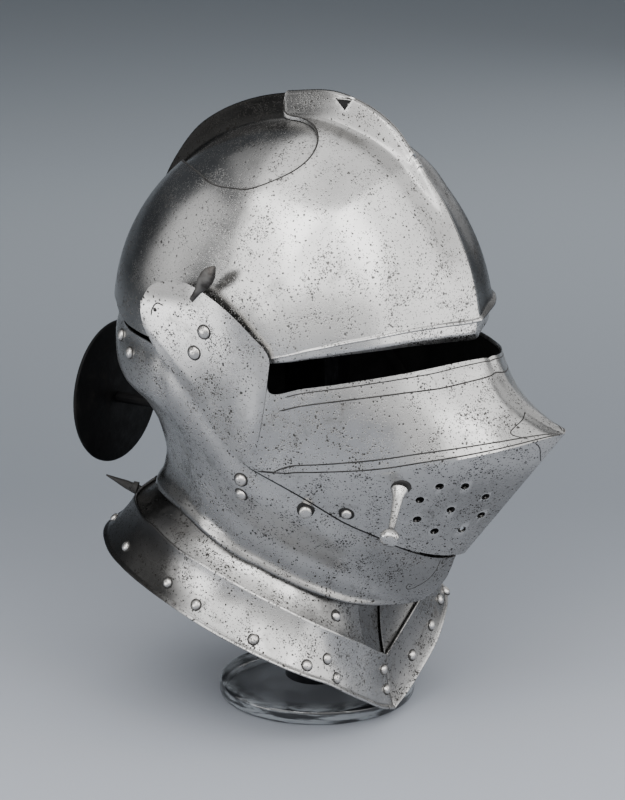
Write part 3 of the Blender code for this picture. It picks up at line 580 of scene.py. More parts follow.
def cut(target, bm):
    """Cut a shape out of a piece; the cutter is removed again."""
    mesh = bpy.data.meshes.new("cutter")
    bm.to_mesh(mesh)
    bm.free()
    cutter = bpy.data.objects.new("cutter", mesh)
    bpy.context.scene.collection.objects.link(cutter)
    step = target.modifiers.new("opening", "BOOLEAN")
    step.operation = "DIFFERENCE"
    step.solver = "EXACT"
    step.object = cutter
    bpy.context.view_layer.update()
    cut_mesh = bpy.data.meshes.new_from_object(target.evaluated_get(bpy.context.evaluated_depsgraph_get()))
    target.modifiers.clear()
    target.data = cut_mesh
    cut_mesh.set_sharp_from_angle(angle=math.radians(50))
    bpy.data.objects.remove(cutter, do_unlink=True)


# The window at the upper rear, seen from above
window_lines = []
WINDOW = ((0.0, 0.20), (0.06, 0.19), (0.10, 0.03), (0.17, -0.085), (0.288, -0.178), (0.406, -0.21),
          (0.506, -0.186), (0.587, -0.123), (0.654, -0.025), (0.682, 0.085), (0.657, 0.286), (0.554, 0.464),
          (0.43, 0.62), (0.29, 0.75), (0.16, 0.84), (0.13, 1.02), (0.12, 1.30))
window_edge = []
for k in range((len(WINDOW) - 1) * 5 + 1):
    p = along([(x, y, 0.0) for x, y in WINDOW], k / 5)
    window_edge.append((-max(p.x, 0.0) * HALF, p.y * HALF))


def window_gap(p):
    if p.z < 2.7 * HALF:
        return 1.0
    return min(math.hypot(-abs(p.x) - x, p.y - y) for x, y in window_edge[::2])


def ease(t):
    t = min(max(t, 0.0), 1.0)
    return t * t * (3 - 2 * t)


# Painted shade on the skull high up where it shows in the window, and along the window's edge under the brow plate;
# the comb's fin is darkened; grime on the fin and along the window's edge
def skull_shade(p, down):
    fin = ease((0.010 - abs(p.x)) / 0.005) * ease((p.y + 0.02) / 0.03)
    near = window_gap(p)
    return (max(0.96 * fin, 0.26 * ease((p.z - 0.33) / 0.02), 0.30 * ease(1 - near / 0.006)),
            max(0.5 * fin, 0.9 * ease(1 - near / 0.005)))


# Painted shade on the far flank and towards the rear of the bowl; darker along the window's edge, on the keel and on
# the comb; grime along the window's edge and low in front
def brow_shade(p, down):
    far = 0.90 * ease(p.x / 0.006) if p.y < 0.02 else 0.0
    back = 0.42 * ease((p.y - 0.040) / 0.030) * ease((0.335 - p.z) / 0.03)
    keel = 0.45 * ease((0.022 - abs(p.x)) / 0.008) * ease((p.z - 0.27) / 0.04)
    rear = 0.55 * ease((0.012 - abs(p.x)) / 0.005) * ease((p.y + 0.055) / 0.05)
    near = window_gap(p)
    foot = 0.55 * ease((0.335 - p.z) / 0.05) * ease((0.03 - p.y) / 0.05)
    return max(far, keel, rear, back, 0.25 * ease(1 - near / 0.004)), max(0.8 * ease(1 - near / 0.004), foot)


skull = plate("skull_plate", bowl_grid((0.0013, PLATE + LAP), SKULL_PLAIN),
              bowl_grid((0.0023, 2 * PLATE + LAP), SKULL_PLAIN), BROW_STEEL, "helmet", ("skull",),
              edge_dirt=0.010, edge_strength=0.9, shade=skull_shade)
brow = plate("brow_plate", bowl_grid((0.0, 0.0), EDGE_ROWS + OVER, 0.0010, 0.0022),
             bowl_grid((0.0010, PLATE), EDGE_ROWS + OVER, 0.0, 0.0022), BROW_STEEL, "helmet", ("brow_reinforce",),
             edge_dirt=0.005, edge_strength=0.5, shade=brow_shade)
WINDOW_FOOT, WINDOW_TOP = 2.62 * HALF + LIFT.z, 4.2 * HALF
window_outline = window_edge + [(0.0, 1.30 * HALF)] + [(-x, y) for x, y in window_edge[:0:-1]]
cut(brow, pushed([(x, y, WINDOW_FOOT) for x, y in window_outline], (0, 0, WINDOW_TOP - WINDOW_FOOT)))
# The window's edge shows as a dark line on the brow's plate
WINDOW_LINE_WIDTH = 0.0010
for side, sign in SIDES:
    found = []
    for k, (x, y) in enumerate(window_edge[3:-4]):
        before, after = window_edge[k + 2], window_edge[k + 4]
        aside = Vector((after[1] - before[1], before[0] - after[0], 0.0)).normalized() * WINDOW_LINE_WIDTH * 0.45
        above = Vector(((x - aside.x) * sign, y - aside.y, 0.5))
        found.append(TREES["brow_plate"].ray_cast(above, Vector((0, 0, -1))))
    window_lines.append(("window_line_" + side, found))

# A three-cornered hole in the comb's near side, and two chips in its crest; within the hole a near-black patch on the
# skull is painted shade
COMB_HOLE = ((-0.0140, 0.3770), (-0.0262, 0.3784), (-0.0212, 0.3705))
for outline, depth in ((COMB_HOLE, 0.0196), (((-0.0638, 0.3450), (-0.0652, 0.3500), (-0.0685, 0.3475)), 0.04),
                       (((-0.0690, 0.3412), (-0.0700, 0.3465), (-0.0735, 0.3435)), 0.04)):
    cut(brow, pushed([(-0.02, y, z) for y, z in outline], (depth, 0, 0)))
found = [TREES["skull_plate"].find_nearest(Vector((-0.008, y, z))) for y, z in COMB_HOLE]
middle = sum((hit[0] for hit in found), Vector()) / 3
shadow_patch = bmesh.new()
closed(shadow_patch, [[shadow_patch.verts.new(middle + (hit[0] - middle) * 1.25 + hit[1].normalized() * gap) for hit in found]
                 for gap in (-0.0002, 0.0002)])
finish_piece("comb_hole_shadow", shadow_patch, (INSIDE_SHADE,), "helmet", (), smooth_all=False)

# Visor: rails from the rear of the lobe to the middle of the face, wearer's right side
LOW_RAIL = ((-1.018, 0.52, 2.43), (-1.020, 0.45, 2.34), (-1.018, 0.38, 2.265), (-1.013, 0.30, 2.18),
            (-1.005, 0.20, 2.075), (-0.994, 0.08, 1.93), (-0.974, -0.04, 1.80), (-0.950, -0.12, 1.725),
            (-0.930, -0.165, 1.695), (-0.868, -0.32, 1.61), (-0.792, -0.44, 1.525), (-0.660, -0.59, 1.39),
            (-0.500, -0.71, 1.28), (-0.350, -0.80, 1.18), (-0.180, -0.91, 1.11), (-0.060, -0.985, 1.085),
            (0.0, -1.014, 1.085))
RIDGE_RAIL = ((-1.024, 0.535, 2.48), (-1.028, 0.46, 2.43), (-1.028, 0.38, 2.36), (-1.024, 0.295, 2.27),
              (-1.017, 0.185, 2.16), (-1.000, 0.06, 2.01), (-0.980, -0.065, 1.87), (-0.960, -0.145, 1.77),
              (-0.936, -0.19, 1.715), (-0.870, -0.415, 1.709), (-0.780, -0.635, 1.717), (-0.678, -0.850, 1.740),
              (-0.566, -1.052, 1.781), (-0.437, -1.25, 1.823), (-0.290, -1.434, 1.868), (-0.116, -1.60, 1.916),
              (0.0, -1.66, 1.925))
HOLLOW_RAIL = ((-1.030, 0.55, 2.56), (-1.032, 0.475, 2.60), (-1.032, 0.38, 2.58), (-1.030, 0.275, 2.51),
               (-1.025, 0.155, 2.40), (-1.015, 0.01, 2.24), (-1.000, -0.125, 2.10), (-0.985, -0.22, 1.98),
               (-0.955, -0.24, 1.95), (-0.895, -0.44, 1.965), (-0.810, -0.64, 1.985), (-0.695, -0.825, 2.01),
               (-0.565, -0.975, 2.04), (-0.425, -1.10, 2.065), (-0.270, -1.20, 2.095), (-0.100, -1.268, 2.115),
               (0.0, -1.275, 2.11))
SIGHT_RAIL = ((-1.032, 0.545, 2.63), (-1.032, 0.48, 2.725), (-1.031, 0.38, 2.77), (-1.030, 0.26, 2.78),
              (-1.030, 0.13, 2.74), (-1.020, -0.03, 2.65), (-1.000, -0.185, 2.52), (-0.975, -0.285, 2.40),
              (-0.948, -0.272, 2.188), (-0.885, -0.450, 2.222), (-0.800, -0.620, 2.252), (-0.690, -0.770, 2.278),
              (-0.570, -0.895, 2.297), (-0.430, -1.005, 2.313), (-0.270, -1.095, 2.324), (-0.100, -1.160, 2.32),
              (0.0, -1.16, 2.30))
LEFT_SAG = ((8, 0.0), (10, 0.045), (12, 0.075), (14, 0.06), (15, 0.025), (16, 0.0))
LOWER_STEPS, UPPER_STEPS = 12, 18
RAIL_PLACES = spread((0, 7, 42), (7, 8, 12), (8, 14, 54), (14, 16, 24))


def visor_point(u, v):
    """v 0 at the cheek seam, 1 at the ridge, 2 at the sight; u counts rails' rows."""
    low, ridge, hollow, sight = (along(rail, u) * HALF for rail in
                                 (LOW_RAIL, RIDGE_RAIL, HOLLOW_RAIL, SIGHT_RAIL))
    low = low + Vector((0.0, -0.35, 0.5)) * SEAM * 1.6
    if v <= 1.0:
        return low.lerp(ridge, v)
    share = (hollow - ridge).length / max((hollow - ridge).length + (sight - hollow).length, 1e-6)
    t = v - 1.0
    # A curve from the ridge to the sight that passes the hollow
    middle = (hollow - ridge * (1 - share) ** 2 - sight * share ** 2) / (2 * share * (1 - share))
    curve = ridge * (1 - t) ** 2 + middle * (2 * t * (1 - t)) + sight * t * t
    near = t / share if t < share else (t - share) / (1 - share)
    straight = ridge.lerp(hollow, near) if t < share else hollow.lerp(sight, near)
    return straight.lerp(curve, 0.75)


def visor_grids():
    steps = [k / LOWER_STEPS for k in range(LOWER_STEPS + 1)]
    steps += [1 + (k + 1) / UPPER_STEPS for k in range(UPPER_STEPS)]
    columns = []
    for u in RAIL_PLACES:
        columns.append([visor_point(u, v) for v in steps])
    left = []
    for u, column in zip(RAIL_PLACES[-2::-1], columns[-2::-1]):
        sag = smooth(LEFT_SAG, u) * HALF
        left.append([Vector((-p.x, p.y, p.z - sag * max(0.0, v - 1.25) / 0.75)) for p, v in zip(column, steps)])
    return [list(row) for row in zip(*(columns + left))]


def dirty(place, reach=0.006, strength=0.8):
    DIRT.append((spot(*place) + LIFT, reach, strength))


for place in ((-1.024, 0.119, 2.505), (-1.025, 0.186, 2.372), (-0.592, -0.917, 1.610), (-0.674, -0.606, 1.443)):
    dirty(place)
dirty((-1.03, 0.40, 2.68), 0.016, 0.55)
dirty((-0.592, -0.917, 1.640), 0.012, 0.75)


def visor_shade(p, down):
    """Painted shade: the lower face darkens towards its low edge, more towards the front and on the far side, and the
    arm and the lobe's top are darkened; grime is even all over.
    """
    level = (p.z - LIFT.z) / HALF
    low = ease((1.72 + 0.12 * ease(-p.y / HALF / 1.6) - level) / 0.25) * ease((-p.y - 0.02) / 0.03)
    lobe = 0.75 * ease((level - 2.60) / 0.09) * ease((p.y - 0.005) / 0.02)
    right = 0.34 * ease((-p.y - 0.085) / 0.04)
    arm = 0.34 * ease((p.y + 0.02) / 0.02) * ease((2.45 - level) / 0.25)
    return max(lobe, arm, (0.12 + right + 0.10 * ease((p.x + 0.01) / 0.03)) * low), 0.30


visor_rows = visor_grids()
visor = plate("visor_plate", visor_rows, inset(visor_rows, PLATE), STEEL, "visor", ("visor",),
              creases=(LOWER_STEPS,), edge_dirt=0.004, edge_strength=0.55, shade=visor_shade)
DIRT.clear()


def facing_at(u, v, sign=1.0):
    """A point of the visor's face and the way out of it; sign -1 for the wearer's left."""
    p = visor_point(u, v)
    out = (visor_point(u + 0.05, v) - p).cross(visor_point(u, v + 0.02) - p).normalized()
    if sign < 0:
        p.z -= smooth(LEFT_SAG, u) * HALF * max(0.0, v - 1.25) / 0.75
    if out.dot(Vector((p.x, p.y - 0.02, 0.0))) < 0:
        out = -out
    return Vector((p.x * sign, p.y, p.z)) + LIFT, Vector((out.x * sign, out.y, out.z))


# Breath holes: place along the rails and up the lower face
BREATHS = ((12.85, 0.70), (13.55, 0.68), (12.55, 0.54), (14.40, 0.54), (13.60, 0.44), (12.85, 0.32),
           (14.75, 0.36), (13.55, 0.22), (14.40, 0.24))
BREATH_RADIUS = 0.0026
drills = bmesh.new()
for u, v in BREATHS:
    for sign in (1.0, -1.0):
        at, out = facing_at(u, v, sign)
        turn = out.to_track_quat("Z", "Y").to_matrix().to_4x4()
        bmesh.ops.create_cone(drills, cap_ends=True, segments=24, radius1=BREATH_RADIUS, radius2=BREATH_RADIUS,
                              depth=0.012, matrix=Matrix.Translation(at) @ turn)
cut(visor, drills)


LINE_RISE, LINE_DEPTH = 0.00007, 0.0003


def ribbon(name, found, width, body):
    """A thin dark line lying on a plate, an engraved line or a crack, through (place, way out) pairs."""
    bm, rings, last = bmesh.new(), [], len(found) - 1
    for k, (p, out) in enumerate((hit[0], hit[1].normalized()) for hit in found):
        run = (found[min(k + 1, last)][0] - found[max(k - 1, 0)][0]).normalized()
        aside = run.cross(out).normalized() * width / 2
        taper = 0.35 if k in (0, last) else 1.0
        rings.append([bm.verts.new(p + aside * a * taper + out * h)
                      for a, h in ((1, -LINE_DEPTH), (1, LINE_RISE * 0.4), (0.3, LINE_RISE), (-0.3, LINE_RISE),
                                   (-1, LINE_RISE * 0.4), (-1, -LINE_DEPTH))])
    finish_piece(name, closed(bm, rings), (LINE,), body, ())


def visor_line(name, table, width, sides=SIDES, steps=10):
    """A line through (u, v) places; one that reaches the middle runs on round the keel."""
    spots = [along([(u, v, 0.0) for u, v in table], k / steps) for k in range((len(table) - 1) * steps + 1)]
    if len(sides) == 2 and table[-1][0] == 16:
        found = [facing_at(p.x, p.y) for p in spots] + [facing_at(p.x, p.y, -1.0) for p in spots[-2::-1]]
        ribbon(name, found, width, "visor")
        return
    for side, sign in sides:
        ribbon(name + "_" + side, [facing_at(p.x, p.y, sign) for p in spots], width, "visor")


for name, found in window_lines:
    ribbon(name, found, WINDOW_LINE_WIDTH, "helmet")
visor_line("sight_line_upper", ((8.55, 1.945), (9.55, 1.955), (10.65, 1.955), (11.9, 1.95), (13.2, 1.945),
                                (14.1, 1.955), (15.0, 1.965), (16, 1.97)), 0.0007)
visor_line("sight_line_lower", ((8.40, 1.79), (9.55, 1.82), (10.65, 1.82), (11.9, 1.80), (13.2, 1.78), (14.3, 1.80),
                                (15.25, 1.83), (16, 1.86)), 0.0009)
visor_line("ridge_line_lower", ((8.02, 0.40), (8.3, 0.80), (8.7, 0.99), (9.4, 1.03), (10.4, 1.04), (11.5, 1.04),
                                (12.8, 1.035), (14.0, 1.03), (15.0, 1.02), (15.8, 1.01)), 0.0009)
visor_line("ridge_line_upper", ((8.10, 0.75), (8.4, 0.98), (8.8, 1.09), (9.4, 1.12), (10.4, 1.14), (11.5, 1.14),
                                (12.8, 1.125), (14.0, 1.105), (15.0, 1.065), (15.7, 1.03)), 0.0009)
visor_line("visor_crack", ((15.95, 1.40), (15.2, 1.31), (14.45, 1.18), (14.65, 1.05)), 0.0007, SIDES[:1])
visor_line("visor_crack_lower", ((14.75, 0.98), (15.0, 0.93), (15.4, 0.85), (15.9, 0.78)), 0.0007, SIDES[:1])
visor_line("lobe_mark", ((0.95, 1.42), (1.1, 1.56), (1.45, 1.66), (1.9, 1.64)), 0.0009, SIDES[:1], 6)

# Cheekpieces
PROUD = ((0, 0.050), (2, 0.042), (4, 0.028), (6, 0.014), (8, 0.005), (10, 0.0), (16, 0.0))
REAR_TOP = ((-0.955, 0.46, 2.325), (-0.918, 0.575, 2.355), (-0.805, 0.80, 2.38), (-0.645, 0.965, 2.45),
            (-0.445, 1.090, 2.475), (-0.22, 1.165, 2.485), (0.0, 1.195, 2.49))
CHIN_TOP = ((0.0, -0.960, 1.062), (-0.06, -0.938, 1.066), (-0.175, -0.882, 1.095))
CHEEK_TOP = CHIN_TOP + tuple((x + smooth(PROUD, k), y, z) for k, (x, y, z) in reversed(list(enumerate(LOW_RAIL)))
                             if 2 <= k <= 13) + REAR_TOP
CHEEK_FOOT = ((0.0, -0.74, 0.742), (-0.06, -0.722, 0.742), (-0.14, -0.69, 0.745), (-0.24, -0.635, 0.757),
              (-0.35, -0.565, 0.775), (-0.46, -0.485, 0.81), (-0.56, -0.39, 0.865), (-0.64, -0.285, 0.92),
              (-0.71, -0.15, 0.99), (-0.745, -0.05, 1.04), (-0.768, 0.03, 1.068), (-0.788, 0.12, 1.11),
              (-0.788, 0.22, 1.155), (-0.77, 0.33, 1.20), (-0.735, 0.43, 1.238), (-0.70, 0.51, 1.262),
              (-0.655, 0.59, 1.275), (-0.56, 0.74, 1.29), (-0.45, 0.87, 1.30), (-0.31, 0.95, 1.30),
              (-0.15, 0.995, 1.30), (0.0, 1.01, 1.30))
TUCK = ((0, 0.23), (1, 0.212), (2, 0.18), (3, 0.127), (4, 0.065), (5, 0.03), (6, 0.014), (21, 0.012))
CHEEK_LAST = len(CHEEK_TOP) - 1
CHIN_BOW = ((0.0, 0.0), (0.25, -0.022), (0.5, -0.038), (0.75, -0.034), (1.0, 0.0))
SIDE_BOW = ((0.0, 0.0), (0.2, -0.015), (0.45, 0.02), (0.7, 0.05), (0.88, 0.045), (1.0, 0.0))
NAPE_BOW = ((0.0, 0.0), (0.15, -0.055), (0.286, -0.074), (0.437, 0.033), (0.613, 0.10), (0.773, 0.117),
            (0.903, 0.075), (1.0, 0.0))


def cheek_point(u, v):
    """A point of the right cheek: u counts columns from the chin to the nape, v runs top to foot."""
    top, foot = along(CHEEK_TOP, u) * HALF, along(CHEEK_FOOT, u) * HALF
    if u < 14.5:
        top = top + Vector((0.0, 0.35, -0.5)) * SEAM * 1.6
    if v > 1.0:
        tuck = Vector((-foot.x, 0.12 * HALF - foot.y, 0.0)).normalized() * smooth(TUCK, u) * HALF
        point = foot + tuck
        return Vector((min(point.x, -SEAM), point.y, point.z))
    point = top.lerp(foot, v)
    chin, nape = 1 - ease(u / 6.0), ease((u - 12.0) / 6.0)
    bow = (chin * smooth(CHIN_BOW, v) + nape * smooth(NAPE_BOW, v)
           + (1 - chin - nape) * smooth(SIDE_BOW, v)) * HALF
    inwards = Vector((-point.x, 0.12 * HALF - point.y, 0.0)).normalized()
    point = point + inwards * bow
    return Vector((min(point.x, -SEAM), point.y, point.z))


def cheek_round(u, w):
    """The cheek's face with its foot rounded into the turned-in edge; w runs 0 to 2."""
    if w <= 0.96:
        return cheek_point(u, w)
    start, corner, end = cheek_point(u, 0.96), cheek_point(u, 1.0), cheek_point(u, 1.1)
    bend = corner.lerp(end, min(1.0, 0.0045 / max((end - corner).length, 1e-6)))
    if w <= 1.0:
        t = (w - 0.96) / 0.04
        return start * (1 - t) ** 2 + corner * (2 * t * (1 - t)) + bend * t * t
    return bend.lerp(end, w - 1.0)


def side_grid(rows, side):
    """Mirror a grid of right-side rows to the named side."""
    if side == "right":
        return rows
    return [[Vector((-p.x, p.y, p.z)) for p in row] for row in rows]


# Collar: place along the cheek's foot, then the seam between the lames and the lower edge
LAME_SEAM = ((0.0, -0.48, 0.32), (-0.13, -0.478, 0.39), (-0.27, -0.48, 0.475), (-0.42, -0.475, 0.56),
             (-0.55, -0.455, 0.638), (-0.66, -0.40, 0.712), (-0.75, -0.30, 0.788), (-0.82, -0.14, 0.87),
             (-0.855, 0.04, 0.945), (-0.858, 0.24, 1.018), (-0.825, 0.46, 1.08), (-0.75, 0.66, 1.142),
             (-0.63, 0.85, 1.17), (-0.36, 1.07, 1.18), (0.0, 1.16, 1.18))
LAME_FOOT = ((0.0, -0.530, 0.010), (-0.15, -0.530, 0.066), (-0.32, -0.532, 0.163), (-0.50, -0.525, 0.27),
             (-0.665, -0.49, 0.38), (-0.80, -0.43, 0.458), (-0.89, -0.31, 0.527), (-0.94, -0.12, 0.60),
             (-0.95, 0.12, 0.675), (-0.935, 0.36, 0.755), (-0.88, 0.62, 0.83), (-0.78, 0.86, 0.883),
             (-0.62, 1.08, 0.915), (-0.36, 1.28, 0.945), (0.0, 1.36, 0.955))
LAME_HEAD = ((0.0, -0.45, 0.78), (-0.115, -0.448, 0.79), (-0.24, -0.445, 0.81), (-0.355, -0.425, 0.84),
             (-0.46, -0.385, 0.875), (-0.55, -0.315, 0.925), (-0.62, -0.22, 0.98), (-0.68, -0.09, 1.04),
             (-0.71, 0.06, 1.11), (-0.71, 0.22, 1.17), (-0.68, 0.38, 1.23), (-0.61, 0.53, 1.28),
             (-0.505, 0.675, 1.30), (-0.285, 0.855, 1.31), (0.0, 0.925, 1.31))
COLLAR_LAST = len(LAME_HEAD) - 1
LOWER_LIFT = {"right": 0.0022, "left": 0.0017}
LOWER_HEAD = tuple(tuple(Vector(p).lerp(Vector(q), -0.10)) for p, q in zip(LAME_SEAM, LAME_FOOT))


def collar_point(head, foot, u, v, bow):
    point = along(head, u).lerp(along(foot, u), v) * HALF
    inwards = Vector((-point.x, 0.2 * HALF - point.y, 0.0)).normalized()
    point = point + inwards * bow * HALF * 4 * v * (1 - v)
    return Vector((min(point.x, -SEAM), point.y, point.z))


def collar(head, foot, bow, rows, lift=0.0, places=None, sunk=None):
    """Rows are (place down the lame, how far it is raised) pairs."""
    grid = []
    for v, raised in rows:
        line = []
        for u in places:
            p = collar_point(head, foot, u, v, bow)
            outwards = Vector((p.x, p.y - 0.2 * HALF, 0.0)).normalized()
            down = sunk(u, v) if sunk else 0.0
            p = p + outwards * (lift + raised - down)
            line.append(Vector((min(p.x, -SEAM), p.y, p.z)))
        grid.append(line)
    return grid


CHEEK_PLACES = spread((0, 6, 48), (6, 21, 90))
CHEEK_ROWS = spread((0, 0.08, 5), (0.08, 0.96, 26), (0.96, 1.0, 5), (1.0, 2.0, 5))
COLLAR_PLACES = spread((0, 1.4, 10), (1.4, 2.6, 48), (2.6, COLLAR_LAST, 70))
UPPER_ROWS = [(k / 16, 0.0) for k in range(17)]
LOWER_ROWS = [(v, 0.0) for v in spread((0, 0.90, 20))]
LOWER_ROWS += [(0.915, 0.0), (0.925, 0.0001), (0.935, 0.0006), (0.95, 0.0010), (0.965, 0.0012), (0.98, 0.0010),
               (0.99, 0.0006), (1.0, 0.0)]
# Where the right upper lame steps down to the strip beside the front seam
STEP_AT = ((0.0, 2.05), (1.0, 1.62))
# Rivets on the lower lames: the wearer's right, then the left (given as its mirror image)
LAME_RIVETS = {
    "right": ((-0.312, 1.270, 1.02), (-0.705, 0.894, 0.997), (-0.882, 0.478, 0.900), (-0.922, 0.254, 0.818),
              (-0.906, -0.132, 0.678), (-0.772, -0.419, 0.531), (-0.620, -0.468, 0.529), (-0.576, -0.503, 0.403),
              (-0.040, -0.50, 0.27), (-0.035, -0.51, 0.15)),
    "left": ((-0.312, 1.270, 1.02), (-0.705, 0.894, 0.997), (-0.882, 0.478, 0.900), (-0.922, 0.254, 0.818),
             (-0.810, -0.414, 0.506), (-0.669, -0.467, 0.493), (-0.490, -0.508, 0.387), (-0.256, -0.511, 0.268)),
}
CHEEK_RIVETS = ((-0.919, -0.058, 1.630), (-0.876, -0.029, 1.521))
NAPE_RIVETS = ((-0.745, 0.885, 2.318), (-0.842, 0.760, 2.246))
CHEEK_STUD = (-0.790, -0.410, 1.471)
UPPER_RIVET = (-0.452, -0.433, 0.737)
ARM_RIVETS = ((-1.024, 0.119, 2.505), (-1.025, 0.186, 2.372))
CATCH_STUD = (-0.674, -0.606, 1.443)


def flipped(place, sign):
    return (place[0] * sign, place[1], place[2])


def cheek_shade(p, down):
    """Painted shade at the chin, the nape, the upper part and towards the foot, and pitted along the throat."""
    level = (p.z - LIFT.z) / HALF
    nape = 0.32 * ease((p.y - 0.035) / 0.05)
    chin = 0.46 * ease((-p.y - 0.045) / 0.03)
    neck = 0.15 * ease((level - 1.55) / 0.3)
    foot = 0.42 * ease((down - 0.52) / 0.22) + 0.30 * ease((down - 0.76) / 0.06)
    throat = ease(1 - abs(level - 1.30 - 0.5 * ease((p.y + 0.01) / 0.05)) / 0.26)
    return max(nape, chin, foot, neck), 0.22 + 0.65 * throat * ease((p.y + 0.07) / 0.03)


def upper_shade(p, down):
    """Painted shade: a shadow under the cheek's foot, and darker towards the rear, at the front and on the strip
    beside the front seam; more pitted towards the rear.
    """
    rear = ease((p.y - 0.020) / 0.035)
    edge = -0.0225 + 0.03 * (0.0755 - p.z)
    front = (0.70 if p.x > edge else 0.60) * ease((-p.y - 0.026) / 0.012)
    strip = 0.73 if edge < p.x < 0.0 and p.y < 0 else 0.0
    return max(0.62 * rear, front, strip, 0.75 * (1 - ease((down - 0.04) / 0.18))), 0.30 + 0.4 * rear


def lower_shade(p, down):
    """Painted shade on the rear half, on the far side and in the groove above the rolled edge, and a spot low in
    front is darker; the rear half, the groove and the spot are more pitted.
    """
    rear = ease((p.y - 0.020) / 0.035)
    point = 0.50 * ease(1 - (Vector((p.x, p.z)) - Vector((-0.003, 0.034))).length / 0.026) if p.y < 0 else 0.0
    groove = 0.60 * ease(1 - abs(down - 0.74) / 0.035)
    return (max(0.90 * rear, 0.52 * ease((p.x + 0.01) / 0.012) * (1 - ease((down - 0.8) / 0.1)), point, groove),
            0.28 + 0.4 * max(rear, groove, point))


def step_down(u, v):
    """How deep the strip beside the front seam lies under the right upper lame."""
    return 0.0011 * (1 - ease((u - smooth(STEP_AT, v)) / 0.05 + 0.5))


for side, sign in SIDES:
    body = "cheek_" + side
    for place in CHEEK_RIVETS:
        dirty(flipped(place, sign), 0.0075, 0.75)
    dirty(flipped(CHEEK_STUD, sign), 0.009, 0.8)
    cheek_rows = side_grid([[cheek_round(u, w) for u in CHEEK_PLACES] for w in CHEEK_ROWS], side)
    within = [[p.lerp(q, 1.0 if w < 0.90 else 0.25) for p, q in zip(row, deep)]
              for w, row, deep in zip(CHEEK_ROWS, cheek_rows, inset(cheek_rows, PLATE))]
    cheek = plate("cheek_plate_" + side, cheek_rows, within, STEEL, body, (body,),
                  edge_dirt=0.005, edge_strength=0.6, shade=cheek_shade)
    DIRT.clear()
    # A near-black sheet behind the seam between visor and cheek: painted shade, so the gap reads dark
    shade_sheet = []
    for rise in (-0.005, -0.001, 0.002, 0.0045):
        line = []
        for u in spread((3.0, 13.4, 60)):
            top, under = cheek_point(u, 0.0), cheek_point(u, 0.06)
            line.append(top + (top - under).normalized() * rise)
        shade_sheet.append(line)
    shade_sheet = side_grid(shade_sheet, side)
    plate("seam_shade_sheet_" + side, inset(shade_sheet, PLATE + 0.0002), inset(shade_sheet, PLATE + 0.0008), INSIDE_SHADE, body, (),
          round_edge=0.0001)
    notch = bmesh.new()
    bmesh.ops.create_cone(notch, cap_ends=True, segments=40, radius1=0.0076, radius2=0.0076, depth=0.06,
                          matrix=Matrix.Translation(Vector((0.0, 0.10, STEM_HEIGHT)) + LIFT)
                          @ Matrix.Rotation(math.radians(90), 4, "X"))
    cut(cheek, notch)
    dirty(flipped(UPPER_RIVET, sign), 0.008, 0.9)
    if side == "right":
        for x, z in ((-0.15, 0.74), (-0.12, 0.66), (-0.09, 0.58), (-0.06, 0.50), (-0.03, 0.42)):
            dirty((x, -0.46, z), 0.011, 0.5)
    upper_rows = side_grid(collar(LAME_HEAD, LAME_SEAM, 0.02, UPPER_ROWS, 0.0, COLLAR_PLACES,
                                  step_down if side == "right" else None), side)
    plate("upper_lame_" + side, upper_rows, inset(upper_rows, LAME_PLATE), COLLAR_STEEL, body,
          ("collar_upper_" + side,), edge_dirt=0.006, edge_strength=0.30, shade=upper_shade)
    DIRT.clear()
    if side == "right":
        edge_line = []
        for k in range(25):
            v = 0.12 + 0.86 * k / 24
            edge_line.append(TREES["upper_lame_right"].find_nearest(
                collar_point(LAME_HEAD, LAME_SEAM, smooth(STEP_AT, v), v, 0.02) + LIFT))
        ribbon("strip_edge", edge_line, 0.0008, body)
    for place in LAME_RIVETS[side]:
        dirty(flipped(place, sign), 0.008, 0.8)
    if side == "right":
        for z in (0.36, 0.30, 0.24, 0.17, 0.10):
            dirty((-0.03, -0.50, z), 0.010, 0.9)
    lower_rows = side_grid(collar(LOWER_HEAD, LAME_FOOT, 0.02, LOWER_ROWS, LOWER_LIFT[side], COLLAR_PLACES), side)
    plate("lower_lame_" + side, lower_rows, inset(lower_rows, LAME_PLATE), COLLAR_STEEL, body,
          ("collar_lower_" + side,), edge_dirt=0.005, edge_strength=0.7, shade=lower_shade)
    DIRT.clear()


# A near-black sheet behind the front seam between the upper lames: painted shade, so the gap reads dark
front_seam = [collar_point(LAME_HEAD, LAME_SEAM, 0.0, k / 12, 0.02) for k in range(13)]
shade_sheet = [[[Vector((x, p.y + LAME_PLATE + gap, p.z)) for x in (-0.004, 0.0, 0.004, 0.009)] for p in front_seam]
          for gap in (0.0015, 0.0021)]
plate("seam_shade_sheet_front", shade_sheet[0], shade_sheet[1], INSIDE_SHADE, "cheek_right", (), round_edge=0.0001)


def on_plate(tree, place):
    p = spot(*place) + LIFT
    hit = TREES[tree].find_nearest(p + Vector((p.x, p.y - 0.02, 0.0)).normalized() * 0.003)
    return hit[0], hit[1].normalized()


# Engraved line beside the chin's front edge, ending in a curl
CHIN_LINE = ((1.35, 0.05), (1.42, 0.22), (1.60, 0.42), (1.95, 0.58), (2.25, 0.66), (2.42, 0.62), (2.36, 0.56),
             (2.22, 0.57))
DOME = ((1.0, -0.15), (1.0, 0.10), (0.97, 0.30), (0.90, 0.50), (0.76, 0.72), (0.56, 0.88), (0.30, 0.97), (0.0, 1.0))


def rivet(name, tree, place, body, radius, height, ring=1.32):
    """A domed head on its plate, with a dark ring round it: dirt, and painted contact shadow."""
    at, outwards = on_plate(tree, place)
    turned(name + "_head", [(r * radius, h * height) for r, h in DOME], at, outwards, 24, RIVET_STEEL, body, name,
           60)
    dark_ring(name + "_dirt", ((ring * radius, -0.0002), (ring * radius, 0.00007), (0.9 * radius, 0.00016)), at,
              outwards, body, GRIME)


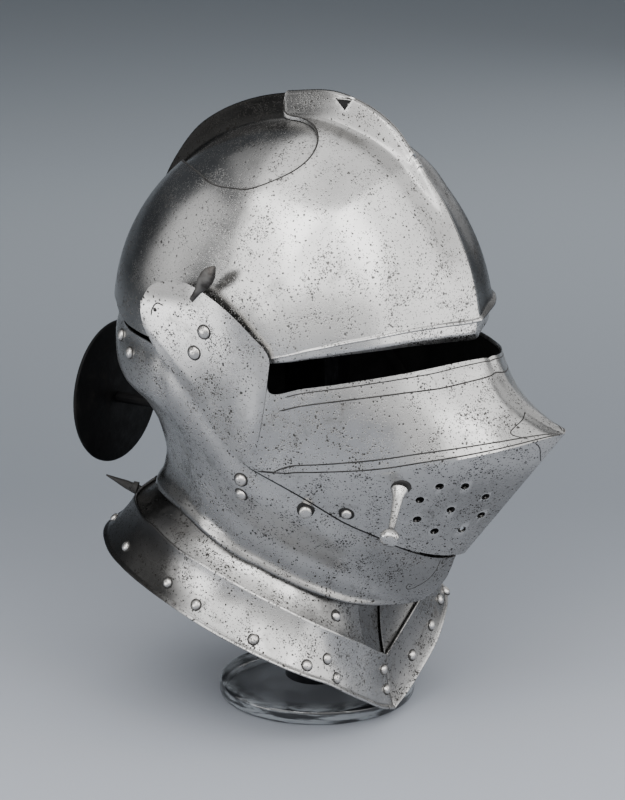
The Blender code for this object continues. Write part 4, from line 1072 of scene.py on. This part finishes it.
for side, sign in SIDES:
    body = "cheek_" + side
    for k, place in enumerate(CHEEK_RIVETS, 1):
        rivet("cheek_rivet_%s_%d" % (side, k), "cheek_plate_" + side, flipped(place, sign), body, 0.0036, 0.0026,
              ring=1.25)
    for k, place in enumerate(NAPE_RIVETS, 1):
        rivet("nape_rivet_%s_%d" % (side, k), "cheek_plate_" + side, flipped(place, sign), body, 0.0032, 0.0024,
              ring=1.2)
    rivet("collar_rivet_upper_" + side, "upper_lame_" + side, flipped(UPPER_RIVET, sign), body, 0.0031, 0.0022)
    for k, place in enumerate(LAME_RIVETS[side], 1):
        rivet("collar_rivet_%s_%d" % (side, k), "lower_lame_" + side, flipped(place, sign), body, 0.0030, 0.0021,
              ring=1.25)
    for k, place in enumerate(ARM_RIVETS, 1):
        rivet("arm_rivet_%s_%d" % (side, k), "visor_plate", flipped(place, sign), "visor", 0.0038, 0.0018, ring=1.2)
    if side == "right":
        chin = [along([(u, v, 0.0) for u, v in CHIN_LINE], k / 8) for k in range((len(CHIN_LINE) - 1) * 8 + 1)]
        found = [TREES["cheek_plate_right"].find_nearest(cheek_round(p.x, p.y) + LIFT) for p in chin]
        ribbon("chin_line", found, 0.0005, body)
    # Stud that the visor's catch holds to: a stub in a hole, its mouth a near-black ring of painted shade
    at, outwards = on_plate("cheek_plate_" + side, flipped(CHEEK_STUD, sign))
    turned("cheek_stud_%s_head" % side, ((0.0028, -0.001), (0.0030, 0.0022), (0.0036, 0.0030), (0.0037, 0.0042),
                                         (0.0030, 0.0050), (0.0016, 0.0053), (0.0, 0.0054)),
           at, outwards, 24, RIVET_STEEL, body, "cheek_stud_" + side)
    dark_ring("cheek_stud_%s_hole" % side, ((0.0052, -0.0002), (0.0052, 0.00008), (0.0030, 0.00016)), at, outwards,
              body)
    # The visor's catch stud, in a hole whose mouth is a near-black ring of painted shade
    at, outwards = on_plate("visor_plate", flipped(CATCH_STUD, sign))
    turned("catch_stud_%s_head" % side, ((0.0028, -0.001), (0.0030, 0.0008), (0.0026, 0.0017), (0.0014, 0.0022),
                                         (0.0, 0.0023)),
           at, outwards, 24, RIVET_STEEL, "visor", "catch_stud_" + side, 60)
    dark_ring("catch_stud_%s_hole" % side, ((0.0050, -0.0002), (0.0050, 0.00008), (0.0026, 0.00016)), at, outwards,
              "visor", squash=0.8)
    at, outwards = on_plate("visor_plate", flipped((-1.032, 0.441, 2.591), sign))
    turned("pivot_pin_%s_head" % side, ((0.0012, -0.0004), (0.0012, 0.0001), (0.0008, 0.0003), (0.0, 0.0003)),
           at, outwards, 20, GRIME, "visor", "pivot_pin_" + side, None)
    # Leaf-headed hinge pin: a raised rim round a sunken blade
    foot = Vector((-1.030 * sign, 0.200, 2.680)) * HALF + LIFT
    tip = Vector((-1.068 * sign, 0.012, 2.912)) * HALF + LIFT
    run = (tip - foot).normalized()
    wide = run.cross(Vector((1, 0, 0))).normalized()
    thick = wide.cross(run).normalized()
    leaf = bmesh.new()
    OUTLINE = ((0.0, 0.014), (0.14, 0.016), (0.26, 0.019), (0.38, 0.031), (0.52, 0.043), (0.66, 0.047),
               (0.80, 0.040), (0.91, 0.024), (0.98, 0.009))
    edge_points = [(t, w) for t, w in OUTLINE] + [(1.0, 0.0)] + [(t, -w) for t, w in reversed(OUTLINE)]
    loops = []
    for inset_by, rise in ((0.20, -0.0006), (0.0, -0.0003), (0.0, 0.0004), (0.14, 0.0009), (0.30, 0.0008),
                           (0.42, 0.0002), (0.75, 0.0001)):
        loops.append([leaf.verts.new(foot.lerp(tip, 0.55 + (t - 0.55) * (1 - inset_by * 0.75))
                                     + wide * w * HALF * (1 - inset_by) + thick * rise)
                      for t, w in edge_points])
    finish_piece("hinge_pin_%s_leaf" % side, closed(leaf, loops), (DARK_STEEL,), "visor", ("hinge_pin_" + side,),
                 angle=50)

# Painted shade: a near-black disc for the mouth of the small hole in each lobe
for side, sign in SIDES:
    dark_ring("lobe_hole_" + side, ((0.0011, -0.0002), (0.0011, 0.00006), (0.0005, 0.00010)),
              *facing_at(3.55, 1.88, sign), "visor", sides=20)

# Lifting peg: a waisted shank ending in a flat round button
peg_root, peg_end = spot(-0.592, -0.917, 1.610) + LIFT, spot(-0.85, -1.01, 1.43) + LIFT
run = peg_end - peg_root
reach = run.length
turned("lifting_peg_turned",
       [(0.0050, -0.0014)] + [(radius, share * reach) for radius, share in
                              ((0.0048, 0.0), (0.0040, 0.04), (0.0031, 0.16), (0.0026, 0.36), (0.0021, 0.60),
                               (0.0020, 0.80), (0.0026, 0.86), (0.0042, 0.90), (0.0053, 0.94), (0.0057, 1.00),
                               (0.0056, 1.05), (0.0046, 1.09), (0.0026, 1.115), (0.0, 1.12))],
       peg_root, run, 32, STEEL, "visor", "lifting_peg")
dark_ring("lifting_peg_dirt", ((0.0060, -0.0002), (0.0060, 0.00008), (0.0040, 0.00025)),
          *on_plate("visor_plate", (-0.592, -0.917, 1.610)), "visor", GRIME, 28)

# Nape hook and its catch
turned("nape_hook_spike", ((0.0032, -0.0042), (0.0030, 0.0), (0.0026, 0.005), (0.0016, 0.011), (0.0005, 0.0185),
                           (0.0, 0.0188)),
       spot(-0.16, 1.235, 1.15) + LIFT, Vector((-0.25, 0.88, 0.35)), 20, GRIME, "cheek_right", "nape_hook")
turned("hook_catch_stub", ((0.0035, -0.0014), (0.0035, 0.0015), (0.0020, 0.0022), (0.0020, 0.0038), (0.0012, 0.0041)),
       spot(-0.36, 1.075, 1.235) + LIFT, Vector((-0.35, 0.9, 0.2)), 20, GRIME, "cheek_right", "hook_catch")

# Rondel
turned("rondel_disc", [(RONDEL_RADIUS - less, run) for less, run in
                       ((0.0011, 0.0), (0.0003, 0.0003), (0.0, 0.0009), (0.0, 0.0016), (0.0003, 0.0021),
                        (0.0011, 0.0024))],
       RONDEL_CENTRE + LIFT, Vector((0, 1, 0)), 112, RONDEL_BLACK, "helmet", "rondel")

# Stand: a thick clear disc with a rounded edge, and a plain black post
up = Vector((0, 0, 1))
edge = 0.0034
rounded = [(DISC_RADIUS - edge + edge * math.sin(a), edge - edge * math.cos(a))
           for a in (math.radians(15 * k) for k in range(7))]
rounded += [(r, DISC_THICK - z) for r, z in rounded[::-1]]
base = rings_along([(DISC_RADIUS - 0.012, 0.0)] + rounded + [(DISC_RADIUS - 0.012, DISC_THICK)], STAND_AT, up, 128)
# The rim is marked for the painted reflection streaks of the clear edge
rim = base.verts.layers.float.new("rim")
for vert in base.verts:
    vert[rim] = 1.0 if math.hypot(vert.co.x - STAND_AT.x, vert.co.y - STAND_AT.y) > DISC_RADIUS - 0.006 else 0.0
finish_piece("stand_disc", base, (CLEAR,), "helmet", ("stand_base",), angle=40)
post_top = 3.045 * HALF + LIFT.z - DISC_THICK
turned("stand_pillar", [(POST_RADIUS - 0.0006, 0.0), (POST_RADIUS, 0.0006), (POST_RADIUS, post_top)]
       + [(radius * HALF, post_top + rise * HALF) for radius, rise in
          ((0.42, 0.13), (0.44, 0.19), (0.38, 0.28), (0.25, 0.37), (0.10, 0.41))],
       STAND_AT + Vector((0, 0, DISC_THICK + 0.0003)), up, 72, BLACK, "helmet", "stand_post")

for name in ("nape_strip", "rondel_stem", "pivot_boss_right", "pivot_boss_left", "cheek_hinge_right",
             "cheek_hinge_left"):
    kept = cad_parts[name]
    kept.data.materials.clear()
    kept.data.materials.append(RONDEL_BLACK if name == "rondel_stem" else DARK_STEEL)


# Floor, backdrop and lights
def paper_with_painted_light(name, near, middle, far):
    """Seamless paper with painted light: its tone changes with the distance behind the object, lighter near it,
    darker in the middle and lighter again further back.
    """
    made = Finish(name, near, 0.0, 0.85, Specular_IOR_Level=0.2)
    parts = made.node("ShaderNodeSeparateXYZ", None, {"Vector": made.place})
    depth = (Signal(made.tree, parts.outputs[0]) * -math.sin(AZIMUTH)
             + Signal(made.tree, parts.outputs[1]) * math.cos(AZIMUTH))
    made.feed("Base Color", made.mixed(depth.ramp(0.35, 1.5), made.mixed(depth.ramp(-0.12, 0.45), near, middle), far))
    return made.material


sweep = bmesh.new()
facing = Vector((-math.sin(AZIMUTH), math.cos(AZIMUTH), 0.0))
across = Vector((facing.y, -facing.x, 0.0))
profile = [(-2.5, 0.0), (2.7, 0.0)] + [(2.7 + 0.4 * math.sin(a), 0.4 - 0.4 * math.cos(a))
                                       for a in (math.radians(9 * k) for k in range(1, 11))] + [(3.1, 0.5)]
rows = [[sweep.verts.new(facing * run + across * w + up * rise) for w in (-3.5, 3.5)] for run, rise in profile]
for low, high in zip(rows, rows[1:]):
    sweep.faces.new((low[0], low[1], high[1], high[0]))
mesh = bpy.data.meshes.new("floor_sweep")
sweep.to_mesh(mesh)
sweep.free()
mesh.materials.append(paper_with_painted_light("studio_paper", (0.345, 0.365, 0.405), (0.205, 0.224, 0.252),
                                      (0.355, 0.39, 0.43)))
for polygon in mesh.polygons:
    polygon.use_smooth = True
floor = bpy.data.objects.new("floor_sweep", mesh)
bpy.context.scene.collection.objects.link(floor)

world = bpy.data.worlds.new("studio")
bpy.context.scene.world = world
world.use_nodes = True
world.node_tree.nodes["Background"].inputs["Color"].default_value = (0.62, 0.68, 0.76, 1.0)
world.node_tree.nodes["Background"].inputs["Strength"].default_value = 0.10


def softbox(name, azimuth, low, high, spread_angle, distance, glow):
    """A flat light that fills the named angles as seen from the object; azimuth 0 is in front of the face."""
    a, e = math.radians(azimuth), math.radians((low + high) / 2)
    lamp = bpy.data.lights.new(name, "AREA")
    lamp.shape = "RECTANGLE"
    lamp.size = 2 * distance * math.tan(math.radians(spread_angle / 2))
    lamp.size_y = 2 * distance * math.tan(math.radians((high - low) / 2))
    lamp.energy = glow * GLOW * math.pi * lamp.size * lamp.size_y
    made = bpy.data.objects.new(name, lamp)
    bpy.context.scene.collection.objects.link(made)
    way = Vector((math.sin(a) * math.cos(e), -math.cos(a) * math.cos(e), math.sin(e)))
    made.location = Vector((0.0, 0.0, 0.21)) + way * distance
    made.rotation_euler = (-way).to_track_quat("-Z", "Y").to_euler()


GLOW = 2.10
# Name, azimuth, lowest and highest angle, angle across, distance and share of the glow
for row in (("key_left", -97, 16, 62, 40, 1.6, 1.22), ("key_low", -106, 2, 16, 26, 1.6, 1.30),
            ("key_middle", -52, 19, 60, 60, 2.3, 1.45), ("key_right", 3, 18, 60, 56, 1.6, 1.10),
            ("top", -60, 62, 118, 70, 1.5, 0.62), ("low_left", -125, -13, 3, 24, 0.85, 2.5),
            ("top_rear", -150, 52, 92, 80, 1.7, 0.16), ("low_right", 15, -13, 20, 80, 0.85, 1.06),
            ("camera_side", -62, -4, 20, 84, 2.9, 0.48), ("right_fill", 85, 2, 38, 50, 1.8, 0.36),
            ("rear_fill", -152, 0, 42, 30, 1.8, 0.38)):
    softbox(*row)
